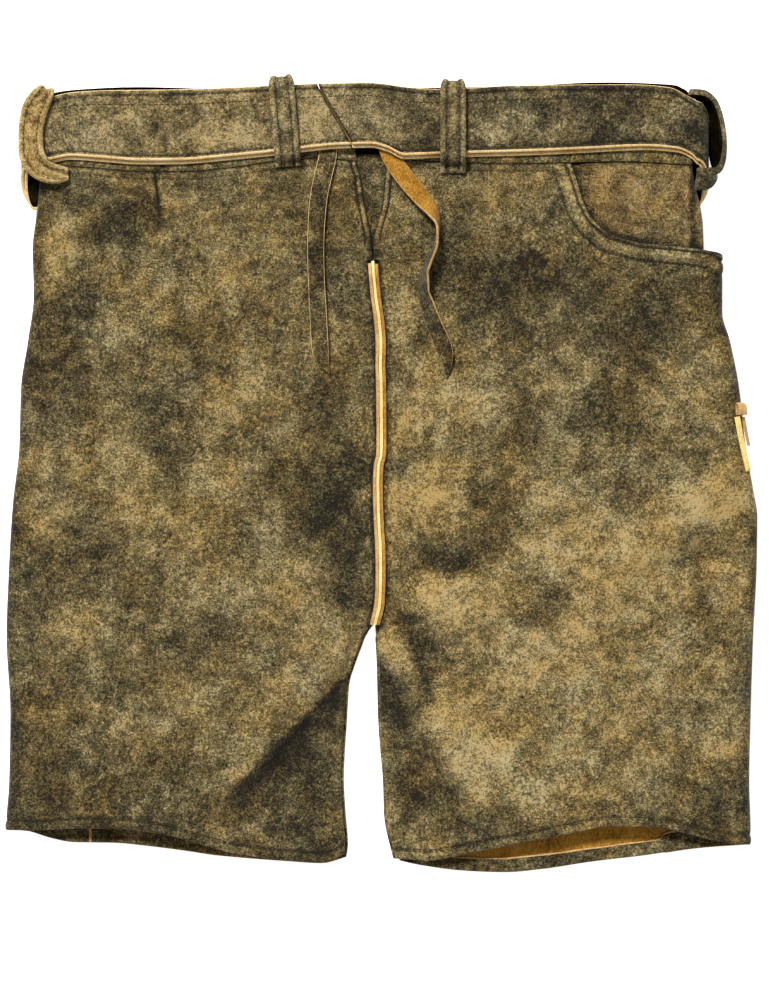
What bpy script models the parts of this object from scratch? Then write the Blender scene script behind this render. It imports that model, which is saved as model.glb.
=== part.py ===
"""Lederhosen: short suede leather trousers laid flat with their own belt.

Frame: the garment lies on z = 0, its front faces +Z, the waist is toward +Y,
and left and right are the viewer's, -X and +X. Tables are in millimetres.
Every piece of leather is a wall of its own, built on a surface through its
middle and given its thickness by Solidify. Pieces stand SEAM apart.
"""
import math

import bpy
import bmesh
from mathutils import Vector

MM = 0.001
NAME = "lederhosen"

# ---- driving dimensions, millimetres -------------------------------------
LEATHER = 2.0          # thickness of a panel
THIN = 1.5             # tongue, hem facing, small tie
SEAM = 0.3             # gap between two pieces at a seam
# the side seams lie under the garment: distance from x = 0 at the hem, rise, bow
SIDE_SEAM_LEFT = (195.0, 7.0, 30.0)
SIDE_SEAM_RIGHT = (190.5, 36.5, 75.0)
BACK_SEAM_LEFT = -114.0
BACK_SEAM_RIGHT = 111.6
BACK_WAIST_Y = 206.0   # seam between the back panels and the back waistband
BELT_LOW = 179.0       # the belt's back run lies on the floor above this y
BELT_WIDTH = 43.0
BELT_LIFT = 2 * LEATHER + 2 * SEAM
BELT_LEFT_TURN = -233.2  # middle of the turn at each side
BELT_RIGHT_TURN = 211.1
BELT_BACK_Y = 201.0
BELT_DROP = 2.2        # how far the belt's inner ply shows below its outer ply
ROLL_AT_HEM = 5.2      # from the outline to the middle of the outer fold, at the hem
PLY_TOP = 2.6          # how far the seam plies stand above the fronts

# height of the middle of each layer at the waist
LAYER = LEATHER + SEAM
BACK_MID = BELT_LIFT + LEATHER / 2
FRONT_MID = BACK_MID + 2 * LAYER + 0.4
LINING_MID = FRONT_MID + LAYER + 0.4
BELT_MID = LINING_MID + LAYER
TIE_ROOM = 2.9         # the belt rides this much higher over the two thongs
HIP_DROP = LAYER + 0.2 # the hip piece lies this far under the pocket edge

# ---- outlines: y, x ------------------------------------------------------
OUTER_LEFT = [
    (-262, -247.0), (-239, -252.0), (-207, -249.8), (-160, -249.0), (-110, -251.5),
    (-60, -249.8), (-20, -247.3), (18, -243.0), (58, -241.8), (90, -237.0), (120, -233.3),
    (150, -234.0), (172, -231.5), (190, -229.5), (215, -229.0), (262, -228.5)]
OUTER_RIGHT = [
    (-266, 247.0), (-239, 247.5), (-207, 246.6), (-160, 247.6), (-110, 249.2), (-60, 251.6),
    (-28, 252.0), (-12, 249.5), (20, 244.0), (58, 239.8), (90, 233.5), (108, 228.5),
    (144, 228.6), (151, 228.0)]
HIP_RIGHT = [(138, 216.0), (152, 216.0), (168, 215.3), (180, 213.5), (192, 210.5),
             (206, 208.5), (262, 208.0)]
CENTRE = [
    (-103, -5.0), (-85, -1.3), (-67, -0.6), (-40, -1.3), (-13, -2.3), (5, -1.8),
    (13, -0.1), (23, 0.1), (50, -0.3), (85, -0.6), (121, -3.7), (144, -5.6),
    (158, -6.2), (262, -6.2)]
INNER_LEFT = [
    (-262, -27.0), (-249, -24.5), (-225, -26.3), (-205, -27.3), (-165, -25.2),
    (-140, -23.5), (-130, -20.5), (-121, -17.3), (-111, -13.5), (-103, -11.5)]
INNER_RIGHT = [
    (-266, 12.0), (-258, 9.8), (-249, 7.5), (-240, 5.2), (-230, 3.6), (-205, 2.8),
    (-185, 1.0), (-160, -0.6), (-136, -1.1), (-115, -2.0), (-109, -2.4), (-103, -0.9)]
FLY_LEFT = [(144, -6.0), (158, -6.9), (163.5, -7.8), (183.6, -11.9), (200, -14.3),
            (207, -16.3), (262, -22.0)]
FLY_RIGHT = [(144, -4.9), (158, -5.4), (165, -4.0), (180, 0.2), (190, 1.4), (210, 3.0),
             (262, 9.0)]
BACK_SHOWS = 2.0       # the back sticks out this far inside each leg

# ---- hems and waist seams: x, y ------------------------------------------
FRONT_HEM_LEFT = [
    (-252, -238.5), (-234, -238.7), (-195, -237.0), (-165, -238.0), (-142, -242.0),
    (-121, -248.0), (-100, -254.0), (-61, -259.0), (-40, -260.3), (-24, -255.0)]
FRONT_HEM_RIGHT = [
    (5, -257.5), (27.5, -259.0), (55.5, -254.5), (83, -249.0), (111, -244.0),
    (131, -240.0), (152, -236.0), (171, -236.0), (187, -237.0), (209, -242.0),
    (230, -247.0), (247, -248.5)]
BACK_HEM_LEFT = [
    (-252, -238.5), (-238, -239.5), (-223, -244.0), (-207, -247.0), (-179, -247.5),
    (-158, -249.5), (-134, -252.5), (-110, -256.0), (-61, -260.0), (-40, -261.2),
    (-24, -256.5)]
BACK_HEM_RIGHT = [
    (5, -258.0), (27.5, -263.0), (55.5, -266.5), (80, -267.2), (108, -265.0),
    (143, -260.0), (178, -256.0), (213, -251.0), (247, -248.5)]
WAIST_SEAM = [
    (-232, 206.5), (-208, 205.7), (-160, 202.3), (-136, 202.3), (-101.5, 205.0),
    (-72.7, 209.0), (-40, 211.5), (-16, 209.5), (3, 211.0), (40, 209.0), (90, 207.5),
    (125.6, 208.3), (166, 209.0), (206, 207.0), (232, 206.5)]
POCKET_EDGE = [
    (125.6, 208.3), (127.5, 203.5), (129.6, 197.0), (135.0, 180.3), (141.0, 170.2),
    (153.0, 160.2), (173.2, 154.8), (206.7, 151.4), (223.4, 149.4), (228.2, 144.8)]
BELT_TOP = [
    (-222, 252.0), (-208, 255.3), (-187, 256.6), (-136, 257.3), (-101, 258.6),
    (-72, 260.0), (-34, 261.3), (-8, 261.6), (18, 258.6), (39, 257.3), (91, 260.0),
    (167, 260.6), (193, 258.6), (203, 254.0), (213, 248.5)]
BELT_BOTTOM = [
    (-222, 210.0), (-208, 212.6), (-187, 211.2), (-160, 209.4), (-136, 209.6),
    (-101, 212.4), (-75, 215.0), (-56, 217.1), (-26, 220.0), (-7, 220.4), (4, 217.8),
    (15, 212.8), (39, 213.8), (106, 215.8), (136, 217.2), (177, 219.0), (198, 217.4),
    (208, 213.0), (213, 207.0)]
BELT_JOIN = [(216, -19.5), (220, -21.4), (261, -42.8), (264, -44.0)]

# ---- large folds: crest from (x0, y0) to (x1, y1), height, spread each side ----
FOLD_COLUMNS = ("x0", "y0", "x1", "y1", "height", "left", "right")
FOLDS_LEFT = [
    (-16.0, -123.0, -96.0, -206.0, 5.0, 8.0, 40.0),
    (-30.0, -150.0, -84.0, -222.0, -4.4, 22.0, 11.0),
    (-211.0, 162.0, -228.0, 96.0, 2.2, 14.0, 10.0),
    (-196.0, 150.0, -222.0, 72.0, -2.7, 14.0, 15.0),
    (-160.0, 176.0, -186.0, 158.0, -2.4, 12.0, 14.0),
    (-36.0, 40.0, -20.0, -96.0, -2.6, 14.0, 18.0),
    (-60.0, -4.0, -134.0, 34.0, -1.1, 16.0, 18.0),
    (-24.0, -96.0, -120.0, -60.0, 2.0, 16.0, 18.0)]
FOLDS_RIGHT = [
    (2.0, -109.0, 66.0, -222.0, 5.4, 22.0, 8.0),
    (6.0, -140.0, 22.0, -196.0, -2.4, 10.0, 12.0),
    (10.0, -101.0, 36.0, -138.0, -3.4, 9.0, 9.0),
    (8.0, -72.0, 72.0, -51.0, -3.0, 9.0, 12.0),
    (20.0, -84.0, 52.0, -96.0, 2.8, 10.0, 14.0),
    (236.0, -2.0, 150.0, -78.0, 3.0, 16.0, 20.0),
    (232.0, -50.0, 178.0, -70.0, -2.6, 12.0, 12.0),
    (216.0, -206.0, 244.0, -156.0, 2.0, 14.0, 12.0)]

# ---- ties: x, y of the middle, tilt about its own line, half width --------
RIBBON_COLUMNS = ("x", "y", "tilt", "half", "lift")
THONG_LEFT = [
    (-35.6, 226.0, 0, 6.0, 0.4), (-36.0, 214.0, 0, 6.0, 0.6), (-39.0, 200.0, 6, 6.0, 0.8),
    (-42.2, 183.6, 8, 5.9, 0.6), (-43.6, 166.0, 6, 5.7, 0.6), (-44.0, 150.0, 6, 5.6, 0.6),
    (-43.6, 132.0, 8, 5.6, 0.6), (-42.6, 112.0, 8, 5.7, 0.6), (-41.6, 92.0, 6, 5.8, 0.6),
    (-40.9, 83.0, 4, 5.6, 0.6), (-38.4, 74.0, 4, 3.4, 0.6), (-35.2, 67.7, 4, 0.7, 0.6)]
THONG_RIGHT = [
    (1.5, 225.0, 180, 5.4, 0.4), (5.4, 214.0, 178, 5.8, 0.8), (10.8, 205.0, 174, 6.1, 1.4),
    (18.6, 194.6, 168, 6.2, 1.8), (27.0, 184.6, 158, 6.1, 2.4), (34.2, 175.6, 132, 5.9, 2.2),
    (37.8, 166.0, 98, 5.8, 1.6), (36.8, 154.5, 84, 5.8, 1.2), (32.8, 144.5, 76, 5.8, 1.0),
    (28.8, 133.6, 66, 5.8, 0.8), (28.4, 122.6, 54, 5.8, 0.6), (31.4, 112.0, 40, 5.8, 0.6),
    (35.6, 100.0, 28, 5.8, 0.6), (40.6, 88.0, 16, 5.8, 0.6), (43.6, 79.5, 10, 4.6, 0.6),
    (44.2, 72.0, 8, 2.6, 0.6), (43.6, 65.6, 8, 0.7, 0.6)]

# ---- belt loops: x, y, z of the middle, tilt, half width --------------------
LOOP_WIDTH = 17.2
LOOP_RIGHT = [
    (209.4, 254.0, 12.6, 74, 5.6), (214.8, 252.2, 11.8, 66, 7.2), (219.8, 246.6, 10.4, 60, 8.4),
    (222.6, 236.4, 9.2, 54, 8.6), (224.2, 224.4, 9.0, 52, 8.6), (224.8, 213.4, 9.6, 60, 8.6),
    (224.4, 205.2, 11.8, 94, 8.6), (221.4, 199.9, 14.4, 126, 8.4), (215.6, 197.0, 16.6, 146, 8.0),
    (210.4, 197.4, 17.2, 158, 7.2)]
# the left side loop, unrolled about the belt's turn: aside, y, rise, half width
LOOP_LEFT = [
    (9.2, 258.8, -6.4, 5.0), (8.9, 257.8, -0.8, 5.6), (6.8, 254.0, 0.5, 7.2),
    (3.8, 248.4, 0.4, 8.2), (0.6, 241.0, 0.4, 8.6), (-1.6, 228.0, 0.4, 8.6),
    (-1.4, 217.6, 0.6, 8.6), (1.6, 209.0, 0.8, 8.4), (7.4, 203.0, -0.8, 7.6),
    (15.5, 200.6, -3.0, 6.6), (23.4, 200.6, -5.0, 4.6)]


def mix(a, b, t):
    return a + (b - a) * t


def ease(t):
    t = max(0.0, min(1.0, t))
    return t * t * (3 - 2 * t)


def read(table, key):
    """Smooth value of a two-column table, rising in its first column."""
    if key <= table[0][0]:
        return table[0][1]
    if key >= table[-1][0]:
        return table[-1][1]
    i = max(k for k in range(len(table) - 1) if table[k][0] <= key)
    (x0, y0), (x1, y1) = table[i], table[i + 1]
    step = x1 - x0

    def slope(k):
        if k == 0 or k == len(table) - 1:
            return (y1 - y0) / step
        before = (table[k][1] - table[k - 1][1]) / (table[k][0] - table[k - 1][0])
        after = (table[k + 1][1] - table[k][1]) / (table[k + 1][0] - table[k][0])
        if before * after <= 0:
            return 0.0
        return 2 * before * after / (before + after)

    t = (key - x0) / step
    bend = (2 * t ** 3 - 3 * t ** 2 + 1) * y0 + (3 * t ** 2 - 2 * t ** 3) * y1
    return bend + step * ((t ** 3 - 2 * t ** 2 + t) * slope(i) + (t ** 3 - t ** 2) * slope(i + 1))


def fold_height(folds, x, y):
    """Sum of soft ridges and troughs along their crests."""
    total = 0.0
    for row in folds:
        fold = dict(zip(FOLD_COLUMNS, row))
        dx, dy = fold["x1"] - fold["x0"], fold["y1"] - fold["y0"]
        length = math.hypot(dx, dy)
        along = ((x - fold["x0"]) * dx + (y - fold["y0"]) * dy) / length
        aside = ((x - fold["x0"]) * dy - (y - fold["y0"]) * dx) / length
        over = max(0.0, -along, along - length)
        spread = fold["right"] if aside > 0 else fold["left"]
        total += fold["height"] * math.exp(-(aside / spread) ** 2) * math.exp(-(over / 16.0) ** 2)
    return total


# ---- heights --------------------------------------------------------------
def back_mid(y):
    return mix(LEATHER / 2, BACK_MID, ease((y - 134) / (BELT_LOW - 12 - 134)))


def fold_top(y):
    """Middle of the front layer where it turns into the outer fold."""
    return mix(9.4, FRONT_MID, ease((y - 120) / 60))


def inner_mid(y):
    """Middle of the front layer at its inner edge."""
    low = mix(5.9, 3.6, ease((y + 252) / 40))
    seat = mix(low, 6.2, ease((y + 112) / 40))
    return mix(seat, FRONT_MID, ease((y - 120) / 60))


def front_mid(side, x, y, inner, outer):
    """Middle of the front layer: puffed legs, flat waist, large folds."""
    t = min(1.0, max(0.0, (x - inner) / (outer - inner)))
    base = mix(inner_mid(y), fold_top(y), ease(t * 1.25))
    puff = mix(5.6, 3.4, ease((y + 120) / 80)) * (1 - ease((y - 110) / 75))
    swell = puff * math.sin(math.pi * t) ** 0.8
    edge = ease(t / 0.05) * ease((1 - t) / 0.04) * (1 - ease((y - 165) / 22))
    folds = edge * fold_height(FOLDS_LEFT if side < 0 else FOLDS_RIGHT, x, y)
    return max(base + swell + folds, back_mid(y) + LAYER + 0.3)


def half_welt():
    return LEATHER * 1.5 + SEAM * 2


def front_inner(side, y):
    if y > 144:
        return read(FLY_LEFT if side < 0 else FLY_RIGHT, y)
    leg = read(INNER_LEFT if side < 0 else INNER_RIGHT, min(y, -103))
    seam = read(CENTRE, y) + side * mix(half_welt(), 0.6, ease((y - 143.5) / 0.5))
    return mix(leg, seam, ease((y + 108) / 6))


def back_inner(side, y):
    leg = read(INNER_LEFT if side < 0 else INNER_RIGHT, min(y, -103)) - side * BACK_SHOWS
    return mix(leg, read(CENTRE, y) + side * SEAM / 2, ease((y + 108) / 8))


def front_outer(side, y):
    if side < 0:
        return read(OUTER_LEFT, y)
    return read(OUTER_RIGHT, y)


# ---- builders --------------------------------------------------------------
def leather(colour, rough):
    material = bpy.data.materials.new(colour[0])
    material.use_nodes = True
    shader = material.node_tree.nodes["Principled BSDF"]
    shader.inputs["Base Color"].default_value = (*colour[1], 1.0)
    shader.inputs["Roughness"].default_value = rough
    return material


def cloth(name, point, across, along, thickness, colour, turn=False):
    """A wall on the surface point(i, j), i in 0..across and j in 0..along."""
    mesh = bpy.data.meshes.new(name)
    shape = bmesh.new()
    bmesh.ops.create_grid(shape, x_segments=across, y_segments=along, size=0.5)
    for vertex in shape.verts:
        i = round((vertex.co.x + 0.5) * across)
        j = round((vertex.co.y + 0.5) * along)
        vertex.co = Vector(point(i, j)) * MM
    if turn:
        bmesh.ops.reverse_faces(shape, faces=shape.faces)
    shape.to_mesh(mesh)
    shape.free()
    mesh.materials.append(colour)
    piece = bpy.data.objects.new(name, mesh)
    collection.objects.link(piece)
    wall = piece.modifiers.new("thickness", "SOLIDIFY")
    wall.thickness = thickness * MM
    wall.offset = 0.0
    wall.use_even_offset = True
    return piece


def wrapped(name, side, shape, stops, rows, colour, roll=6, under=3):
    """A front piece: over the top, round the outer fold, back to the side seam.

    rows are shares of the way from its low end to its high end."""
    inner, outer, top_mid = shape["inner"], shape["outer"], shape["mid"]
    low, high = shape["low"], shape["high"]
    under_low, under_high = shape["under_low"], shape["under_high"]

    def turn(y):
        top = top_mid(outer(y), y)
        radius = (top - back_mid(y)) / 2
        return radius, outer(y) - side * (radius + LEATHER / 2), top - radius

    columns = [("top", t) for t in stops]
    columns += [("roll", (k + 1) / roll) for k in range(roll)]
    columns += [("under", (k + 1) / under) for k in range(under)]

    def point(i, j):
        zone, t = columns[i]
        share = rows[j]
        if zone == "top":
            y = mix(low(t), high(t), share)
            x = mix(inner(y), turn(y)[1], t)
            return x, y, top_mid(x, y)
        if zone == "roll":
            y = mix(mix(low(1), under_low(0), t), mix(high(1), under_high(0), t), share)
            radius, middle, height = turn(y)
            angle = math.pi * (0.5 - t)
            x = middle + side * radius * math.cos(angle)
            return x, y, height + radius * math.sin(angle)
        y = mix(under_low(t), under_high(t), share)
        return mix(turn(y)[1], side_seam(side, y) + side * SEAM / 2, t), y, back_mid(y)

    return cloth(name, point, len(columns) - 1, len(rows) - 1, LEATHER, colour, turn=side < 0)


def side_seam(side, y):
    """Where the side seam runs on the underside, a long even curve."""
    hem, rise, bow = SIDE_SEAM_LEFT if side < 0 else SIDE_SEAM_RIGHT
    share = (y + 250) / 500
    return side * (hem + rise * share - bow * share * share)


def flat_piece(name, x_low, x_high, y_low, y_high, mid, across, along, thickness, colour):
    """A piece between x_low(y) and x_high(y), its ends y_low(x) and y_high(x)."""
    def point(i, j):
        t = i / across
        y = mix(y_low(mix(x_low(-200), x_high(-200), t)),
                y_high(mix(x_low(200), x_high(200), t)), j / along)
        x = mix(x_low(y), x_high(y), t)
        return x, y, mid(x, y)
    return cloth(name, point, across, along, thickness, colour)


def ribbon(name, stations, thickness, colour, across=2, level=None):
    """A strip through stations of (x, y, z, tilt degrees, half width).

    level is the untilted direction of its width, where it doesn't follow the line."""
    rows, last = [], Vector((1, 0, 0))
    for k, (x, y, z, tilt, half) in enumerate(stations):
        before, after = stations[max(k - 1, 0)], stations[min(k + 1, len(stations) - 1)]
        run = Vector(after[:3]) - Vector(before[:3])
        flat = Vector((run.y, -run.x, 0)) if level is None else Vector(level)
        flat = flat.normalized() if flat.length > 0.01 else last.copy()
        if flat.dot(last) < 0:
            flat = -flat
        last = flat.copy()
        rise = Vector((0, 0, 1))
        angle = math.radians(tilt)
        rows.append((Vector((x, y, z)), (flat * math.cos(angle) + rise * math.sin(angle)) * half))

    def point(i, j):
        middle, reach = rows[j]
        return tuple(middle + reach * (i / across * 2 - 1))
    return cloth(name, point, across, len(stations) - 1, thickness, colour)


# ---- start clean -----------------------------------------------------------
for old in list(bpy.data.objects):
    bpy.data.objects.remove(old, do_unlink=True)
collection = bpy.data.collections.new(NAME)
bpy.context.scene.collection.children.link(collection)

SUEDE = leather(("suede_outside", (0.150, 0.118, 0.055)), 0.92)
SUEDE_BELT = leather(("suede_belt", (0.170, 0.135, 0.065)), 0.92)
SUEDE_PALE = leather(("suede_reverse", (0.470, 0.250, 0.060)), 0.92)
SUEDE_CREAM = leather(("seam_core", (0.800, 0.640, 0.300)), 0.85)

# ---- the two fronts ---------------------------------------------------------
LEFT, RIGHT = -1, 1
ROWS_AT = [-236, -214, -191, -168, -146, -127, -111, -101, -84, -62, -40, -18, 4, 26, 48,
           70, 92, 112, 128, 143.4, 144.7, 156, 168, 180, 193]


def rows_between(low, high):
    return [0.0] + [(y - low) / (high - low) for y in ROWS_AT] + [1.0]


def even(count):
    return [k / count for k in range(count + 1)]


def hem_at(side, table, t):
    inner, outer = front_inner(side, -245), front_outer(side, -245)
    return read(table, mix(inner, outer - side * ROLL_AT_HEM, t))


def seam_at(side, t):
    return read(WAIST_SEAM, mix(front_inner(side, 206), front_outer(side, 206), t))


def left_mid(x, y):
    return front_mid(LEFT, x, y, front_inner(LEFT, y), front_outer(LEFT, y) + ROLL_AT_HEM)


def right_mid(x, y):
    return front_mid(RIGHT, x, y, front_inner(RIGHT, y), right_outer(y) - ROLL_AT_HEM)


def right_outer(y):
    return read(OUTER_RIGHT, y)


LEFT_FRONT = {
    "inner": lambda y: front_inner(LEFT, y), "outer": lambda y: front_outer(LEFT, y),
    "mid": left_mid, "low": lambda t: hem_at(LEFT, FRONT_HEM_LEFT, t),
    "high": lambda t: seam_at(LEFT, t),
    "under_low": lambda t: read(BACK_HEM_LEFT, mix(-247.0, -195.0, t)),
    "under_high": lambda t: BACK_WAIST_Y}
EVEN_STOPS = [0, 0.035, 0.09, 0.16, 0.24, 0.33, 0.42, 0.51, 0.60, 0.69, 0.78, 0.87, 0.95, 1]
wrapped("front_left", LEFT, LEFT_FRONT, EVEN_STOPS,
        rows_between(hem_at(LEFT, FRONT_HEM_LEFT, 0), seam_at(LEFT, 0)), SUEDE)


def pocket_share(x, y):
    """Where a point of the pocket edge lies across the right front, 0 to 1."""
    return (x - front_inner(RIGHT, y)) / (right_outer(y) - ROLL_AT_HEM - front_inner(RIGHT, y))


POCKET_STOPS = [(pocket_share(x, y), y) for x, y in POCKET_EDGE[:8]] + [(1.0, 149.0)]


def right_top(t):
    if t < POCKET_STOPS[0][0]:
        start = front_inner(RIGHT, 206)
        return read(WAIST_SEAM, mix(start, POCKET_EDGE[0][0], t / POCKET_STOPS[0][0]))
    return read(POCKET_STOPS, t)


RIGHT_FRONT = {
    "inner": lambda y: front_inner(RIGHT, y), "outer": right_outer,
    "mid": right_mid, "low": lambda t: hem_at(RIGHT, FRONT_HEM_RIGHT, t),
    "high": right_top,
    "under_low": lambda t: read(BACK_HEM_RIGHT, mix(242.0, 190.0, t)),
    "under_high": lambda t: POCKET_EDGE[-1][1]}
RIGHT_STOPS = [0, 0.035, 0.09, 0.16, 0.24, 0.33, 0.42, 0.50]
RIGHT_STOPS += [share for share, y in POCKET_STOPS[:8]] + [0.955, 1]
wrapped("front_right", RIGHT, RIGHT_FRONT, RIGHT_STOPS,
        rows_between(hem_at(RIGHT, FRONT_HEM_RIGHT, 0), right_top(0)), SUEDE)


# ---- hip piece inside the pocket ---------------------------------------------
def hip_outer(y):
    return read(HIP_RIGHT, y)


def hip_mid(x, y):
    drop = HIP_DROP * (1 - ease((y - read(POCKET_EDGE, x - 6) - 5) / 13))
    return front_mid(RIGHT, x, y, front_inner(RIGHT, y), right_outer(y) - ROLL_AT_HEM) - drop


HIP = {
    "inner": lambda y: 116.0, "outer": hip_outer, "mid": hip_mid,
    "low": lambda t: max(POCKET_EDGE[-1][1] + SEAM,
                         read(POCKET_EDGE, mix(116.0, 206.0, t) + 7) - 5),
    "high": lambda t: read(WAIST_SEAM, mix(116.0, 206.0, t)) - 0.4,
    "under_low": lambda t: POCKET_EDGE[-1][1] + SEAM,
    "under_high": lambda t: BACK_WAIST_Y}
wrapped("pocket_hip_panel", RIGHT, HIP, [0, 0.08, 0.16, 0.26, 0.4, 0.6, 0.8, 1],
        even(5), SUEDE)


# ---- backs ----------------------------------------------------------------------
def lies(x, y):
    return back_mid(y)


for side, word, hem, seam_x in ((LEFT, "left", BACK_HEM_LEFT, BACK_SEAM_LEFT),
                                (RIGHT, "right", BACK_HEM_RIGHT, BACK_SEAM_RIGHT)):
    bounds = [lambda y, side=side: back_inner(side, y),
              lambda y, seam_x=seam_x, side=side: seam_x - side * SEAM / 2]
    if side < 0:
        bounds.reverse()
    flat_piece("back_" + word, bounds[0], bounds[1], lambda x, hem=hem: read(hem, x),
               lambda x: BACK_WAIST_Y, lies, 6, 24, LEATHER, SUEDE)
    strip = [lambda y, seam_x=seam_x, side=side: seam_x + side * SEAM / 2,
             lambda y, side=side: side_seam(side, y) - side * SEAM / 2]
    if side < 0:
        strip.reverse()
    flat_piece("back_side_" + word, strip[0], strip[1], lambda x, hem=hem: read(hem, x),
               lambda x: BACK_WAIST_Y, lies, 4, 24, LEATHER, SUEDE)

# ---- waistband ---------------------------------------------------------------------
BAND_TOP_BACK = [(-232, 254.0), (-211, 257.5), (-168, 259.5), (-100, 258.0), (0, 258.5),
                 (100, 260.0), (160, 262.6), (200, 261.0), (212, 255.0)]


def band_mid(x, y):
    return FRONT_MID


for side, word in ((LEFT, "left"), (RIGHT, "right")):
    reach = (lambda y: read(OUTER_LEFT, y)) if side < 0 else hip_outer
    start = front_inner(side, 230)
    end = reach(230)
    band = {
        "inner": lambda y, side=side: front_inner(side, y), "outer": reach, "mid": band_mid,
        "low": lambda t, side=side, b=end: (seam_at(LEFT, t) if side < 0 else read(
            WAIST_SEAM, mix(front_inner(RIGHT, 206), b, t))) + SEAM,
        "high": lambda t, a=start, b=end: read(BELT_TOP, mix(a, b, t)) - 3.5,
        "under_low": lambda t: BACK_WAIST_Y + SEAM,
        "under_high": lambda t, side=side, b=end: read(BAND_TOP_BACK,
                                                       mix(b, side_seam(side, 230), t))}
    wrapped("waistband_front_" + word, side, band, EVEN_STOPS, even(3), SUEDE)

flat_piece("waistband_back", lambda y: side_seam(LEFT, y) + SEAM / 2,
           lambda y: side_seam(RIGHT, y) - SEAM / 2, lambda x: BACK_WAIST_Y + SEAM,
           lambda x: read(BAND_TOP_BACK, x), lies, 12, 3, LEATHER, SUEDE)

# ---- tongue behind the fly ------------------------------------------------------------
FLY_FOOT, FLY_HEAD = 143.6, 214.0   # its two ends, y


def gusset_mid(x, y):
    return inner_mid(y) - LEATHER / 2 - SEAM - THIN / 2 - 0.2


flat_piece("fly_gusset", lambda y: mix(-13.0, -24.0, (y - 148) / 66),
           lambda y: mix(1.0, 11.0, (y - 148) / 66), lambda x: FLY_FOOT, lambda x: FLY_HEAD,
           gusset_mid, 4, 6, THIN, SUEDE)

# ---- plies on edge down the centre seam -------------------------------------------------
PLY_ROWS = [y for y in ROWS_AT if -102 < y < 140] + [136.0, 142.8]
for name, offset, colour, tall in (("seam_ply_left", -1, SUEDE_PALE, 0.0),
                                   ("seam_ply_core", 0, SUEDE_CREAM, 0.5),
                                   ("seam_ply_right", 1, SUEDE_PALE, -0.2)):
    def ply(i, j, offset=offset, tall=tall):
        y = PLY_ROWS[j]
        foot = back_mid(y) + LEATHER / 2 + 0.4 + 0.9 * ease((y - 100) / 30)
        crest = inner_mid(y) + LEATHER / 2 + PLY_TOP + tall
        crest -= 1.6 * ease((y - 136) / 7) + 1.0 * ease((-95 - y) / 6)
        return read(CENTRE, y) + offset * LAYER, y, mix(foot, crest, i / 2)
    cloth(name, ply, 2, len(PLY_ROWS) - 1, LEATHER, colour)


# ---- belt ----------------------------------------------------------------------------------
def belt_lift(x):
    return TIE_ROOM * ease((x + 78) / 24) * (1 - ease((x - 24) / 24))


def belt_strip(name, mid, drop, colour):
    """A ring: front run, turn, back run on the floor, turn, front run."""
    floor = LEATHER / 2 + (BELT_MID - mid)
    radius = (mid - floor) / 2
    stations = [("front", k / 9) for k in range(10)]
    stations += [("left", k / 7) for k in range(1, 8)]
    stations += [("back", k / 7) for k in range(1, 8)]
    stations += [("right", k / 7) for k in range(1, 8)]
    stations += [("close", k / 11) for k in range(1, 12)]

    def edges(x):
        return read(BELT_BOTTOM, x) - drop, read(BELT_TOP, x) - drop * 0.4

    def run(x_start, x_end, t, v):
        x = mix(x_start, x_end, t)
        low, high = edges(x)
        return x, mix(low, high, v), mid + belt_lift(x)

    def point(i, j):
        zone, t = stations[j]
        v = i / 3
        half = BELT_WIDTH / 2
        back_y = BELT_BACK_Y - drop + (v * 2 - 1) * half
        join = read(BELT_JOIN, mix(216.5, 261.0, v))
        if zone == "front":
            return run(join - SEAM / 2, BELT_LEFT_TURN, t, v)
        if zone == "close":
            return run(BELT_RIGHT_TURN, join + SEAM / 2, t, v)
        if zone == "back":
            return mix(BELT_LEFT_TURN, BELT_RIGHT_TURN, t), back_y, floor
        middle = BELT_LEFT_TURN if zone == "left" else BELT_RIGHT_TURN
        side = LEFT if zone == "left" else RIGHT
        around = t if zone == "left" else 1 - t
        angle = math.pi * (0.5 - around)
        low, high = edges(middle)
        y = mix(mix(low, high, v), back_y, ease(around))
        x = middle + side * radius * math.cos(angle)
        return x, y, floor + radius + radius * math.sin(angle)

    cloth(name, point, 3, len(stations) - 1, LEATHER, colour)


belt_strip("belt_outer", BELT_MID, 0.0, SUEDE_BELT)
belt_strip("belt_lining", LINING_MID, BELT_DROP, SUEDE_PALE)

# ---- belt loops --------------------------------------------------------------------------------
for word, foot, head, y_foot in (("left", -62.3, -67.3, 206.0), ("right", 47.9, 47.9, 201.5)):
    x = (foot + head) / 2
    low, high = read(BELT_BOTTOM, x) - BELT_DROP, read(BELT_TOP, x)
    crown = BELT_MID + LAYER + 0.3 + max(belt_lift(x - 16), belt_lift(x + 16))
    lying = FRONT_MID + LAYER + 0.2
    profile = [
        (y_foot, lying), (low - 5.2, lying), (low - 3.3, lying + 1.0),
        (low - 2.4, lying + 3.2), (low - 1.6, crown - 1.6), (low + 0.6, crown - 0.2),
        (low + 4.0, crown), (mix(low, high, 0.5), crown + 0.4), (high - 3.0, crown),
        (high + 0.4, crown - 0.3), (high + 3.4, crown - 1.8), (high + 4.9, crown - 4.4),
        (high + 5.2, crown - 8.0)]
    path = [(mix(foot, head, (y - y_foot) / (high + 5.2 - y_foot)), y, z, 0, LOOP_WIDTH / 2)
            for y, z in profile]
    ribbon("loop_front_" + word, path, LEATHER, SUEDE_BELT)

# ---- side loops ---------------------------------------------------------------------------------------
AROUND = BELT_MID / 2 - LEATHER / 4 + 0.5 + LAYER + 0.3   # from the turn's middle to the loop
LOOP_COLUMNS = 4       # faces across the loop


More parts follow.
